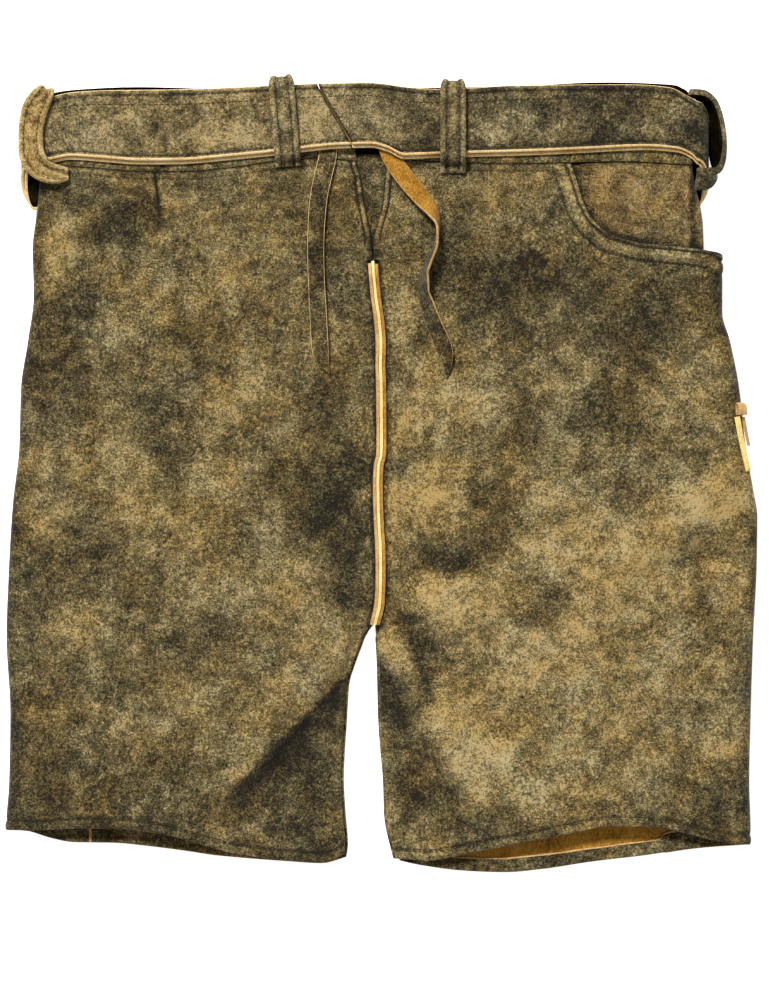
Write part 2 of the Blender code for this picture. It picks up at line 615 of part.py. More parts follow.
def left_loop(i, j):
    """A point of the loop: its path turned round the belt, its width across the path."""
    aside, y, rise, half = LOOP_LEFT[j]
    before, after = LOOP_LEFT[max(j - 1, 0)], LOOP_LEFT[min(j + 1, len(LOOP_LEFT) - 1)]
    run = Vector((after[0] - before[0], after[1] - before[1])).normalized()
    reach = half * (1 - i / LOOP_COLUMNS * 2)
    aside, y = aside + run.y * reach, y - run.x * reach
    radius = AROUND + rise
    height = BELT_MID / 2 + 0.5
    if aside > 0:
        return BELT_LEFT_TURN + aside, y, height + radius
    angle = -aside / AROUND
    return BELT_LEFT_TURN - radius * math.sin(angle), y, height + radius * math.cos(angle)


cloth("loop_side_left", left_loop, LOOP_COLUMNS, len(LOOP_LEFT) - 1, LEATHER, SUEDE_BELT, turn=True)

ribbon("loop_side_right", LOOP_RIGHT, LEATHER, SUEDE_BELT)


# ---- ties ---------------------------------------------------------------------------------------------
def laid(rows, mid, room):
    """Stations of a tie that lies on the leather under it."""
    stations = []
    for row in rows:
        tie = dict(zip(RIBBON_COLUMNS, row))
        tilt = math.radians(tie["tilt"])
        stand = abs(math.sin(tilt)) * tie["half"] + abs(math.cos(tilt)) * LEATHER / 2
        z = mid(tie["x"], min(tie["y"], 206.0)) + LEATHER / 2 + room + tie["lift"] * 0.5 + stand
        stations.append((tie["x"], tie["y"], z, tie["tilt"], tie["half"]))
    return stations


ribbon("thong_left", laid(THONG_LEFT, left_mid, 0.3), LEATHER, SUEDE)
ribbon("thong_right", laid(THONG_RIGHT, right_mid, 0.3), LEATHER, SUEDE)


def at_fold(y, angle, out):
    """A point near the right outer fold, by its angle and distance from its middle."""
    top, low = fold_top(y), back_mid(y)
    radius = (top - low) / 2
    middle = right_outer(y) - radius - LEATHER / 2
    turn = math.radians(angle)
    reach = radius + LEATHER / 2 + 0.4 + THIN / 2 + out
    return middle + reach * math.cos(turn), y, low + radius + reach * math.sin(turn)


pale = [(*at_fold(y, angle, 0.2), angle - 90, 1.9)
        for y, angle in ((38.4, 78), (30, 72), (22, 66), (13, 60), (5, 55), (2, 52))]
ribbon("side_thong_pale", pale, THIN, SUEDE_PALE, across=1)
brown = [(*at_fold(y, angle, out), angle - 90, 1.7)
         for y, angle, out in ((38.4, 32, 0.3), (32, 28, 0.6), (25, 24, 1.0), (18.8, 20, 1.4))]
ribbon("side_thong_brown", brown, THIN, SUEDE, across=1)
knot = [(*at_fold(y, 56, out), -34, 3.4)
        for y, out in ((39.4, 0.2), (43.0, 0.2), (46.0, 0.5), (47.4, 1.9), (46.0, 3.3),
                       (43.0, 3.6), (39.6, 3.4))]
ribbon("side_thong_knot", knot, THIN, SUEDE_PALE, across=1, level=(1, 0, 0))

# ---- hem facings ------------------------------------------------------------------------------------------
DEPTH_LEFT = [(-240, 9.0), (-193, 10.0), (-30, 9.4)]
DEPTH_RIGHT = [(10, 9.4), (186, 9.6), (191, 13.5), (238, 13.0)]
FACING_MID = LEATHER + SEAM + THIN / 2
for side, word, hem, depth, ends in (
        (LEFT, "left", BACK_HEM_LEFT, DEPTH_LEFT, (-240.0, -31.0)),
        (RIGHT, "right", BACK_HEM_RIGHT, DEPTH_RIGHT, (12.0, 238.0))):
    def facing(i, j, hem=hem, depth=depth, ends=ends):
        x = mix(ends[0], ends[1], i / 22)
        return x, read(hem, x) + 0.5 + read(depth, x) * j, FACING_MID
    cloth("hem_facing_" + word, facing, 22, 1, THIN, SUEDE)
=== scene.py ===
"""Looks of the lederhosen: every piece of leather as a fine wall on its solid's form,
with creases, stitches and a mottled, napped suede. Tables are in millimetres."""
import math

import bpy
import numpy as np
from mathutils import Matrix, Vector


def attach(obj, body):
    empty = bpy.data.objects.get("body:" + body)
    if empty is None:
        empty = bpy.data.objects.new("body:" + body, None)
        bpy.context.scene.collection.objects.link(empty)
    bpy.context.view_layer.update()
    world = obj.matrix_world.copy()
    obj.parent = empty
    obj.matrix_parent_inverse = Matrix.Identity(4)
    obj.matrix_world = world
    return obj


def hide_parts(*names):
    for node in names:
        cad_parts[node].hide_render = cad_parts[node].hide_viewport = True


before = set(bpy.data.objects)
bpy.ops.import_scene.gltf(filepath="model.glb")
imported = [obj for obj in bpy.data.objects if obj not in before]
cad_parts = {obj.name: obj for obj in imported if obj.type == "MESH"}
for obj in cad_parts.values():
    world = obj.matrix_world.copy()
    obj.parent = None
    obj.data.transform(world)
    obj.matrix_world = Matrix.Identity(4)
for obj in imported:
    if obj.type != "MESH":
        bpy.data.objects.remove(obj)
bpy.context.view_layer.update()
MM = 0.001
LEFT, RIGHT = -1, 1

# ---- driving dimensions, the same as the solids' ----
LEATHER = 2.0          # thickness of a panel
THIN = 1.5             # tongue, hem facing, small tie
SEAM = 0.3             # gap between two pieces at a seam
LAYER = LEATHER + SEAM
SIDE_SEAM_LEFT = (195.0, 7.0, 30.0)
SIDE_SEAM_RIGHT = (190.5, 36.5, 75.0)
BACK_SEAM_LEFT = -114.0
BACK_SEAM_RIGHT = 111.6
BACK_WAIST_Y = 206.0   # seam between the back panels and the back waistband
BELT_LOW = 179.0       # the belt's back run lies on the floor above this y
BELT_WIDTH = 43.0
BELT_LEFT_TURN = -233.2  # middle of the turn at each side
BELT_RIGHT_TURN = 211.1
BELT_BACK_Y = 201.0
PLY_TOP = 2.6          # how far the seam plies stand above the fronts
BACK_SHOWS = 2.0       # the back sticks out this far inside each leg
LOOP_WIDTH = 17.2
BELT_GAP = 0.9         # between the belt's two ends, where they meet slantwise
BELT_DROP = 2.2        # how far the belt's inner ply shows below its outer ply
BACK_MID = 2 * LAYER + LEATHER / 2
FRONT_MID = BACK_MID + 2 * LAYER + 0.4
LINING_MID = FRONT_MID + LAYER + 0.4
BELT_MID = LINING_MID + LAYER
TIE_ROOM = 2.9         # the belt rides this much higher over the two thongs
HIP_DROP = LAYER + 0.2 # the hip piece lies this far under the pocket edge
ROLL_AT_HEM = 5.2      # from the outline to the middle of the outer fold, at the hem
STEP = 2.5             # spacing of the fine grid
EDGE = (0.0, 0.35, 0.9, 1.8, 2.8)  # distances from an edge where its rounding is drawn
FLY_FOOT = 144         # the fly's V opens from here up
WELT_FOOT = 143.5      # the centre seam's plies stand from here down
LEGS_TOP = -103        # the tables of the legs' inner edges end here
LEGS_JOIN = -108       # the inner edge is the centre seam's from here up
BACK_RISE = 134        # the back leaves the floor here, to lie over the belt's back run
SHARE_Y = 206.0        # height at which a share across the waist is read
HEM_Y = -245.0         # and across a hem
BAND_Y = 230.0         # and across a waistband
HIP_START = 116.0      # the hip piece reaches this far in behind the pocket's edge
LEG_TOP = 9.4          # middle of a leg's upper leather beside its outer fold
LEG_HEM = 5.9          # and at its inner edge, at the hem
LEG_INNER = 3.6        # and higher up that edge, where it is pressed flattest
SEAT_INNER = 6.2       # and beside the centre seam
WAIST_RISE = 120       # the fronts rise from here up, to lie over the belt's back run
PUFF_HEM = 5.6         # how far a leg stands up between its edges, at the hem
PUFF_SEAT = 3.4        # and at the seat
WAVES = ((0.42, 34, 3), (0.2, 13, 8), (0.05, 5, 14))  # height, length and seed of each
SUNK = 0.1             # how deep a thread's line lies in the leather
TURN_ROWS = (5.6, 7.2)     # stitch rows above a hem, from its edge
WAIST_ROW = 4.7            # below the waist seam
FLY_ROW = 4.2              # beside the fly
LIP_ROWS = (2.4, 11.6)     # beside the pocket's edge
BELT_ROW = 3.5             # inside each of the belt's edges
LOOP_ROW = 4.4             # inside each of a loop's edges

# ---- relief along an edge, and painted highlight on its ridges and painted shade in its grooves and seams: distance from it, height or tone, width ----
HEM_RELIEF = ((3.0, 0.45, 1.9), (6.4, -0.5, 1.3))
FLY_RELIEF = ((2.0, 0.35, 1.3), (4.2, -0.4, 1.1))
LEG_RELIEF = ((1.6, 0.4, 1.1), (3.8, -0.4, 1.2))
SEAT_RELIEF = ((0.8, 0.5, 1.4), (4.0, -0.35, 1.8))
WAIST_RELIEF = ((2.2, 0.35, 1.5), (4.7, -0.4, 1.1))
LIP_RELIEF = ((0.9, 0.5, 0.9), (2.5, -0.8, 0.8), (6.6, 0.65, 3.0), (11.6, -0.6, 1.1))
BAND_RELIEF = ((2.6, 0.5, 2.2),)
BELT_RELIEF = ((1.9, 0.4, 1.2), (3.6, -0.6, 1.0))
LOOP_RELIEF = ((2.0, 1.1, 1.9), (5.0, -0.7, 1.0))
HEM_GROOVE_SHADE = ((6.4, -0.9, 1.0),)
SEAT_SEAM_SHADE = ((0.0, -1.6, 2.2),)
FLY_LIGHT_AND_SHADE = ((2.1, 0.5, 1.0), (0.0, -3.0, 0.7), (4.2, -2.4, 0.7))
WAIST_SEAM_SHADE = ((0.0, -1.6, 0.8), (4.7, -0.5, 0.9))
LIP_LIGHT_AND_SHADE = ((0.9, 0.7, 0.8), (2.5, -2.0, 0.7), (5.6, 0.5, 2.4), (11.6, -1.8, 0.8))
LOOP_LIGHT_AND_SHADE = ((2.0, 0.5, 1.5), (4.8, -1.9, 0.8))

# ---- outlines: y, x ----
OUTER_LEFT = [
    (-262, -247), (-239, -252), (-207, -249.8), (-160, -249), (-110, -251.5),
    (-60, -249.8), (-20, -247.3), (18, -243), (58, -241.8), (90, -237), (120, -233.3),
    (150, -234), (172, -231.5), (190, -229.5), (215, -229), (262, -228.5)]
OUTER_RIGHT = [
    (-266, 247), (-239, 247.5), (-207, 246.6), (-160, 247.6), (-110, 249.2), (-60, 251.6),
    (-28, 252), (-12, 249.5), (20, 244), (58, 239.8), (90, 233.5), (108, 228.5),
    (144, 228.6), (151, 228)]
HIP_RIGHT = [(138, 216), (152, 216), (168, 215.3), (180, 213.5), (192, 210.5),
             (206, 208.5), (262, 208)]
CENTRE = [
    (-103, -5), (-85, -1.3), (-67, -0.6), (-40, -1.3), (-13, -2.3), (5, -1.8),
    (13, -0.1), (23, 0.1), (50, -0.3), (85, -0.6), (121, -3.7), (144, -5.6),
    (158, -6.2), (262, -6.2)]
INNER_LEFT = [
    (-262, -27), (-249, -24.5), (-225, -26.3), (-205, -27.3), (-165, -25.2),
    (-140, -23.5), (-130, -20.5), (-121, -17.3), (-111, -13.5), (-103, -11.5)]
INNER_RIGHT = [
    (-266, 12), (-258, 9.8), (-249, 7.5), (-240, 5.2), (-230, 3.6), (-205, 2.8),
    (-185, 1), (-160, -0.6), (-136, -1.1), (-115, -2), (-109, -2.4), (-103, -0.9)]
FLY_LEFT = [(144, -6), (158, -6.9), (163.5, -7.8), (183.6, -11.9), (200, -14.3),
            (207, -16.3), (262, -22)]
FLY_RIGHT = [(144, -4.9), (158, -5.4), (165, -4), (180, 0.2), (190, 1.4), (210, 3),
             (262, 9)]

# ---- hems and waist seams: x, y ----
FRONT_HEM_LEFT = [
    (-252, -238.5), (-234, -238.7), (-195, -237), (-165, -238), (-142, -242),
    (-121, -248), (-100, -254), (-61, -259), (-40, -260.3), (-24, -255)]
FRONT_HEM_RIGHT = [
    (5, -257.5), (27.5, -259), (55.5, -254.5), (83, -249), (111, -244),
    (131, -240), (152, -236), (171, -236), (187, -237), (209, -242),
    (230, -247), (247, -248.5)]
BACK_HEM_LEFT = [
    (-252, -238.5), (-238, -239.5), (-223, -244), (-207, -247), (-179, -247.5),
    (-158, -249.5), (-134, -252.5), (-110, -256), (-61, -260), (-40, -261.2),
    (-24, -256.5)]
BACK_HEM_RIGHT = [
    (5, -258), (27.5, -263), (55.5, -266.5), (80, -267.2), (108, -265),
    (143, -260), (178, -256), (213, -251), (247, -248.5)]
WAIST_SEAM = [
    (-232, 206.5), (-208, 205.7), (-160, 202.3), (-136, 202.3), (-101.5, 205),
    (-72.7, 209), (-40, 211.5), (-16, 209.5), (3, 211), (40, 209), (90, 207.5),
    (125.6, 208.3), (166, 209), (206, 207), (232, 206.5)]
POCKET_EDGE = [
    (125.6, 208.3), (127.5, 203.5), (129.6, 197), (135, 180.3), (141, 170.2),
    (153, 160.2), (173.2, 154.8), (206.7, 151.4), (223.4, 149.4), (228.2, 144.8)]
BELT_TOP = [
    (-222, 252), (-208, 255.3), (-187, 256.6), (-136, 257.3), (-101, 258.6),
    (-72, 260), (-34, 261.3), (-8, 261.6), (18, 258.6), (39, 257.3), (91, 260),
    (167, 260.6), (193, 258.6), (203, 254), (213, 248.5)]
BELT_BOTTOM = [
    (-222, 210), (-208, 212.6), (-187, 211.2), (-160, 209.4), (-136, 209.6),
    (-101, 212.4), (-75, 215), (-56, 217.1), (-26, 220), (-7, 220.4), (4, 217.8),
    (15, 212.8), (39, 213.8), (106, 215.8), (136, 217.2), (177, 219), (198, 217.4),
    (208, 213), (213, 207)]
BELT_JOIN = [(216, -19.5), (220, -21.4), (261, -42.8), (264, -44)]
BAND_TOP_BACK = [(-232, 254), (-211, 257.5), (-168, 259.5), (-100, 258), (0, 258.5),
                 (100, 260), (160, 262.6), (200, 261), (212, 255)]

# ---- large folds: crest from (x0, y0) to (x1, y1), height, spread each side ----
FOLDS_LEFT = [
    (-16, -123, -96, -206, 5, 8, 40),
    (-30, -150, -84, -222, -4.4, 22, 11),
    (-211, 162, -228, 96, 2.2, 14, 10),
    (-196, 150, -222, 72, -2.7, 14, 15),
    (-160, 176, -186, 158, -2.4, 12, 14),
    (-36, 40, -20, -96, -2.6, 14, 18),
    (-60, -4, -134, 34, -1.1, 16, 18),
    (-24, -96, -120, -60, 2, 16, 18)]
FOLDS_RIGHT = [
    (2, -109, 66, -222, 5.4, 22, 8),
    (6, -140, 22, -196, -2.4, 10, 12),
    (10, -101, 36, -138, -3.4, 9, 9),
    (8, -72, 72, -51, -3, 9, 12),
    (20, -84, 52, -96, 2.8, 10, 14),
    (236, -2, 150, -78, 3, 16, 20),
    (232, -50, 178, -70, -2.6, 12, 12),
    (216, -206, 244, -156, 2, 14, 12)]
# ---- creases that only the fine surface has, the same columns ----
CREASES_LEFT = [
    (-151.6, 203, -149.2, 178, -3, 1.3, 1.9),
    (-145, 200, -142, 166, 0.7, 5, 6),
    (-60, 206, -54, 176, -0.6, 5, 7),
    (-92, 204, -98, 182, 0.5, 6, 6),
    (-24, 150, -40, 120, -0.5, 6, 8),
    (-20, -88, -62, -74, -0.7, 5, 8),
    (-18, -104, -50, -108, 0.7, 4, 7),
    (-24, -118, -70, -134, -0.5, 5, 7),
    (-240, 62, -196, 34, -0.6, 6, 9),
    (-244, 12, -190, -10, 0.5, 7, 9),
    (-246, -120, -206, -142, -0.5, 7, 8),
    (-110, -196, -150, -240, 0.6, 9, 12)]
CREASES_RIGHT = [
    (-1, 176, 18, 150, -0.6, 5, 7),
    (60, 205, 66, 178, -0.5, 6, 8),
    (100, 206, 96, 186, 0.5, 6, 7),
    (120, 176, 128, 150, 0.6, 6, 5),
    (12, -60, 44, -44, -0.6, 4, 6),
    (40, -70, 96, -66, 0.7, 6, 8),
    (8, -92, 30, -90, 0.8, 4, 4),
    (60, -120, 96, -160, -0.6, 7, 9),
    (240, 20, 190, -14, -0.6, 7, 9),
    (244, -96, 206, -112, 0.5, 7, 9),
    (228, 96, 196, 78, -0.5, 6, 9),
    (110, -190, 130, -236, -0.6, 9, 11)]
# ---- lines of painted shade in and beside the folds and along the dart, the same columns with a tone ----
SHADES_LEFT = [
    (-28, -141, -90, -204, -1.9, 12, 2.2), (-40, 60, -22, -80, -0.5, 10, 12),
    (-241, -232, -160, -232, -0.5, 14, 14)]
DART_SHADE = (-151.5, 200, -150, 189, -3.4, 0.8, 1.3)
SHADES_RIGHT = [
    (-5, -116, 11, -154, -1.9, 1.6, 14), (17, -96, 31, -147, -1.4, 5, 6),
    (3, -102, 17, -99, -1.2, 4, 1.2), (24, -60, 42, -54, -0.8, 4, 5),
    (42, -54, 74, -60, -0.6, 5, 7)]
FOLD_COLUMNS = ("x0", "y0", "x1", "y1", "height", "left", "right")

# ---- ties: x, y of the middle, tilt, half width, lift ----
THONG_LEFT = [
    (-35.6, 226, 0, 6, 0.4), (-36, 214, 0, 6, 0.6), (-39, 200, 6, 6, 0.8),
    (-42.2, 183.6, 8, 5.9, 0.6), (-43.6, 166, 6, 5.7, 0.6), (-44, 150, 6, 5.6, 0.6),
    (-43.6, 132, 8, 5.6, 0.6), (-42.6, 112, 8, 5.7, 0.6), (-41.6, 92, 6, 5.8, 0.6),
    (-40.9, 83, 4, 5.6, 0.6), (-38.4, 74, 4, 3.4, 0.6), (-35.2, 67.7, 4, 0.7, 0.6)]
THONG_RIGHT = [
    (1.5, 225, 180, 5.4, 0.4), (5.4, 214, 178, 5.8, 0.8), (10.8, 205, 174, 6.1, 1.4),
    (18.6, 194.6, 168, 6.2, 1.8), (27, 184.6, 158, 6.1, 2.4), (34.2, 175.6, 132, 5.9, 2.2),
    (37.8, 166, 98, 5.8, 1.6), (36.8, 154.5, 84, 5.8, 1.2), (32.8, 144.5, 76, 5.8, 1),
    (28.8, 133.6, 66, 5.8, 0.8), (28.4, 122.6, 54, 5.8, 0.6), (31.4, 112, 40, 5.8, 0.6),
    (35.6, 100, 28, 5.8, 0.6), (40.6, 88, 16, 5.8, 0.6), (43.6, 79.5, 10, 4.6, 0.6),
    (44.2, 72, 8, 2.6, 0.6), (43.6, 65.6, 8, 0.7, 0.6)]
LOOP_RIGHT = [
    (205.5, 254.4, 10, 74, 4.4), (209.4, 254, 12.6, 74, 5.6), (214.8, 252.2, 11.8, 66, 7.2),
    (219.8, 246.6, 10.4, 60, 8.4),
    (222.6, 236.4, 9.2, 54, 8.6), (224.2, 224.4, 9, 52, 8.6), (224.8, 213.4, 9.6, 60, 8.6),
    (224.4, 205.2, 11.8, 78, 8.6), (221.4, 199.9, 14.4, 118, 8.4), (215.6, 197, 16.6, 146, 8),
    (210.4, 197.4, 17.2, 158, 7.2)]
# the left side loop, unrolled about the belt's turn: aside, y, rise, half width
LOOP_LEFT = [
    (9.2, 257.8, -6.4, 5), (8.9, 256.8, -0.8, 5.6), (6.8, 253.4, 0.5, 7.2),
    (3.8, 248.4, 0.4, 8.2), (0.6, 241, 0.4, 8.6), (-1.6, 228, 0.4, 8.6),
    (-1.4, 217.6, 0.6, 8.6), (1.6, 209, 0.8, 8.4), (7.4, 203, -0.8, 7.6),
    (15.5, 200.6, -3, 6.6), (23.4, 200.6, -5, 4.6)]
DEPTH_LEFT = [(-240, 9), (-193, 10), (-30, 9.4)]
DEPTH_RIGHT = [(10, 9.4), (186, 9.6), (191, 13.5), (238, 13)]


# ---- small mathematics ----
def mix(a, b, t):
    return a + (b - a) * t


def ease(t):
    t = np.clip(t, 0.0, 1.0)
    return t * t * (3 - 2 * t)


def read(table, key):
    """Smooth value of a two-column table, rising in its first column, at each key."""
    keys, values = np.array(table, float).T
    step = np.diff(keys)
    rate = np.diff(values) / step
    both = rate[:-1] * rate[1:]
    total = np.where(np.abs(rate[:-1] + rate[1:]) > 1e-9, rate[:-1] + rate[1:], 1.0)
    inside = np.where(both > 0, 2 * both / total, 0.0)
    slope = np.concatenate([rate[:1], inside, rate[-1:]])
    key = np.clip(np.asarray(key, float), keys[0], keys[-1])
    i = np.clip(np.searchsorted(keys, key, side="right") - 1, 0, len(step) - 1)
    t = (key - keys[i]) / step[i]
    bend = (2 * t ** 3 - 3 * t ** 2 + 1) * values[i] + (3 * t ** 2 - 2 * t ** 3) * values[i + 1]
    lean = (t ** 3 - 2 * t ** 2 + t) * slope[i] + (t ** 3 - t ** 2) * slope[i + 1]
    return bend + step[i] * lean


def noise(x, y, wave, seed):
    """Smooth noise from -1 to 1, its waves about `wave` millimetres long."""
    lattice = np.random.default_rng(seed).uniform(-1, 1, (97, 97))
    u, v = np.asarray(x) / wave + 40.3, np.asarray(y) / wave + 40.7
    i, j = np.floor(u).astype(int), np.floor(v).astype(int)
    f, g = ease(u - i), ease(v - j)
    a, b = lattice[i % 97, j % 97], lattice[(i + 1) % 97, j % 97]
    c, d = lattice[i % 97, (j + 1) % 97], lattice[(i + 1) % 97, (j + 1) % 97]
    return mix(mix(a, b, f), mix(c, d, f), g)


def near(distance, centre, width):
    """1 at that distance, falling softly to 0 either side."""
    return np.exp(-((distance - centre) / width) ** 2)


def ridges(distance, rows):
    """Soft ridges and grooves along an edge, from rows of where, how high, how wide."""
    return sum(height * near(distance, centre, width) for centre, height, width in rows)


def fold_height(folds, x, y):
    """Sum of soft ridges: each falls away to its two sides and past its ends."""
    total = np.zeros(np.broadcast(x, y).shape)
    for row in folds:
        fold = dict(zip(FOLD_COLUMNS, row))
        dx, dy = fold["x1"] - fold["x0"], fold["y1"] - fold["y0"]
        length = math.hypot(dx, dy)
        along = ((x - fold["x0"]) * dx + (y - fold["y0"]) * dy) / length
        aside = ((x - fold["x0"]) * dy - (y - fold["y0"]) * dx) / length
        over = np.maximum(0, np.maximum(-along, along - length))
        spread = np.where(aside > 0, fold["right"], fold["left"])
        total += fold["height"] * np.exp(-(aside / spread) ** 2 - (over / 16.0) ** 2)
    return total


# ---- heights ----
def back_mid(y):
    return mix(LEATHER / 2, BACK_MID, ease((y - BACK_RISE) / (BELT_LOW - 12 - BACK_RISE)))


def fold_top(y):
    """Height of a front's middle surface beside its outer fold."""
    return mix(LEG_TOP, FRONT_MID, ease((y - WAIST_RISE) / 60))


def inner_mid(y):
    """Height of a front's middle surface at its inner edge."""
    low = mix(LEG_HEM, LEG_INNER, ease((y + 252) / 40))
    seat = mix(low, SEAT_INNER, ease((y + 112) / 40))
    return mix(seat, FRONT_MID, ease((y - WAIST_RISE) / 60))


def front_mid(side, x, y, inner, outer):
    """Height of a front's middle surface: its rise, puff, folds, creases and small waves."""
    t = np.clip((x - inner) / (outer - inner), 0, 1)
    base = mix(inner_mid(y), fold_top(y), ease(t * 1.25))
    puff = mix(PUFF_HEM, PUFF_SEAT, ease((y + 120) / 80)) * (1 - ease((y - 110) / 75))
    swell = puff * np.sin(math.pi * t) ** 0.8
    edge = ease(t / 0.05) * ease((1 - t) / 0.04) * (1 - ease((y - 165) / 22))
    folds = edge * fold_height(FOLDS_LEFT if side < 0 else FOLDS_RIGHT, x, y)
    fine = ease(t / 0.03) * ease((1 - t) / 0.03) * (1 - 0.6 * ease((y - 150) / 40))
    creases = fine * fold_height(CREASES_LEFT if side < 0 else CREASES_RIGHT, x, y)
    waves = fine * sum(height * noise(x, y, length, seed + side) for height, length, seed in WAVES)
    return np.maximum(base + swell + folds + creases + waves, back_mid(y) + LAYER + 0.2)


def front_inner(side, y):
    """Where a front's inner edge is: along the leg, the centre seam, then the fly."""
    fly = read(FLY_LEFT if side < 0 else FLY_RIGHT, y)
    leg = read(INNER_LEFT if side < 0 else INNER_RIGHT, np.minimum(y, LEGS_TOP))
    half_welt = LEATHER * 1.5 + SEAM * 2
    seam = read(CENTRE, y) + side * mix(half_welt, 0.6, ease((y - WELT_FOOT) / 0.5))
    below = mix(leg, seam, ease((y - LEGS_JOIN) / 6))
    return np.where(y > FLY_FOOT, fly, below)


def back_inner(side, y):
    leg = read(INNER_LEFT if side < 0 else INNER_RIGHT, np.minimum(y, LEGS_TOP)) - side * BACK_SHOWS
    return mix(leg, read(CENTRE, y) + side * SEAM / 2, ease((y - LEGS_JOIN) / 8))


def left_outer(y):
    return read(OUTER_LEFT, y)


def right_outer(y):
    return read(OUTER_RIGHT, y)


def hip_outer(y):
    return read(HIP_RIGHT, y)


def left_mid(x, y):
    return front_mid(LEFT, x, y, front_inner(LEFT, y), left_outer(y) + ROLL_AT_HEM)


def right_mid(x, y):
    return front_mid(RIGHT, x, y, front_inner(RIGHT, y), right_outer(y) - ROLL_AT_HEM)


def side_seam(side, y):
    hem, rise, bow = SIDE_SEAM_LEFT if side < 0 else SIDE_SEAM_RIGHT
    share = (y + 250) / 500
    return side * (hem + rise * share - bow * share * share)


def belt_lift(x):
    """How much higher the belt lies, over the thongs."""
    return TIE_ROOM * ease((x + 78) / 24) * (1 - ease((x - 24) / 24))


# ---- where the suede is worn pale or left dark, some blobs being painted highlight on fold ridges and painted shadow beside folds: x, y, radius, tone from -1 to 1 ----
WEAR_AND_FOLD_SHADE_PATCHES = [
    (-213, 152, 16, 0.9), (-226, 128, 14, 0.6), (-148, 184, 14, 0.5), (-184, 94, 22, 0.5),
    (-90, 63, 26, 0.5), (-113, 41, 18, 0.6), (-182, 23, 24, 0.7), (-108, -2, 20, 0.9),
    (-162, -13, 18, 0.7), (-229, 9, 14, 0.7), (-215, -31, 16, 0.5), (-63, -58, 26, 0.8),
    (-99, -71, 18, 0.6), (-126, -84, 18, 0.5), (-207, -107, 26, 0.5), (-130, -160, 22, 0.5),
    (-157, -174, 16, 0.4), (-44, -122, 22, 0.4), (-75, 163, 20, 0.4), (-112, 133, 20, 0.5),
    (-171, 165, 17, -1), (-207, 108, 17, -0.9), (-220, 50, 18, -0.6), (-146, 41, 14, -0.8),
    (-144, 9, 12, -0.7), (-18, 5, 16, -1), (-77, -6, 18, -0.6), (-41, -31, 24, -0.6),
    (-189, -49, 20, -0.8), (-229, -62, 16, -0.6), (-215, -84, 18, -0.4), (-90, -107, 20, -0.4),
    (-60, -200, 24, -0.9), (-122, -196, 24, -0.5), (-229, -218, 26, -0.7), (-50, -236, 26, -0.6),
    (-128, 83, 22, -0.6), (-58, 182, 20, -0.4), (-170, -225, 30, -0.4), (-24, 120, 16, -0.4),
    (30, 50, 20, 0.5), (57, 52, 22, 0.6), (26, -13, 16, 0.8), (238, -9, 18, 1.6),
    (209, -26, 18, 1.3), (173, -60, 22, 0.9), (124, -40, 22, 0.8), (138, -89, 18, 0.8),
    (57, -84, 18, 0.7), (35, -71, 12, 0.7), (101, -129, 24, 0.9), (70, -190, 16, 0.9),
    (48, -156, 14, 0.7), (240, -76, 16, 0.6), (231, -174, 16, 0.6), (12, 108, 12, 0.6),
    (124, 54, 20, 0.3), (205, 60, 30, 0.2), (150, -180, 40, 0.3),
    (75, 121, 30, -1.1), (46, 150, 24, -0.7), (108, 146, 24, -0.8), (173, 94, 22, -0.9),
    (97, 31, 20, -0.6), (146, 41, 18, -0.7), (75, -22, 18, -0.7), (53, -55, 14, -0.8),
    (111, -89, 12, -0.7), (26, -107, 13, -0.7), (8, -147, 15, -0.9), (30, -210, 24, -0.6),
    (222, -226, 22, -0.9), (228, -96, 12, -0.4), (209, -156, 14, -0.4), (210, 110, 26, -0.4),
    (60, -236, 22, -0.6), (140, 120, 26, -0.4)]
BELT_TONES = [(-244, 0.6), (-215, 0.5), (-150, 0.35), (-100, 0.75), (-70, 0), (-42, 0.9),
              (-20, 0.5), (10, 0.1), (40, -0.5), (60, -0.1), (100, -0.4), (150, -0.6),
              (190, -0.8), (225, -0.9)]


def wear_and_fold_shade_tone(x, y):
    """How pale or dark the patches make the suede, with ragged edges: real wear and mottling, and at
    some folds painted highlight on the ridge and painted shadow beside it.
    """
    total = np.zeros(np.broadcast(x, y).shape)
    wobble_x = x + 9 * noise(x, y, 21, 31) + 4 * noise(x, y, 8, 32)
    wobble_y = y + 9 * noise(x, y, 21, 33) + 4 * noise(x, y, 8, 34)
    for px, py, radius, tone in WEAR_AND_FOLD_SHADE_PATCHES:
        away = ((wobble_x - px) ** 2 + (wobble_y - py) ** 2) / radius ** 2
        total += tone * np.exp(-away)
    return total


# ---- materials ----
def srgb(r, g, b, share=1.0):
    """A colour as it looks under the key light, made into what the surface reflects."""
    return [share * (c / 255 / 12.92 if c <= 10 else ((c / 255 + 0.055) / 1.055) ** 2.4)
            for c in (r, g, b)] + [1.0]


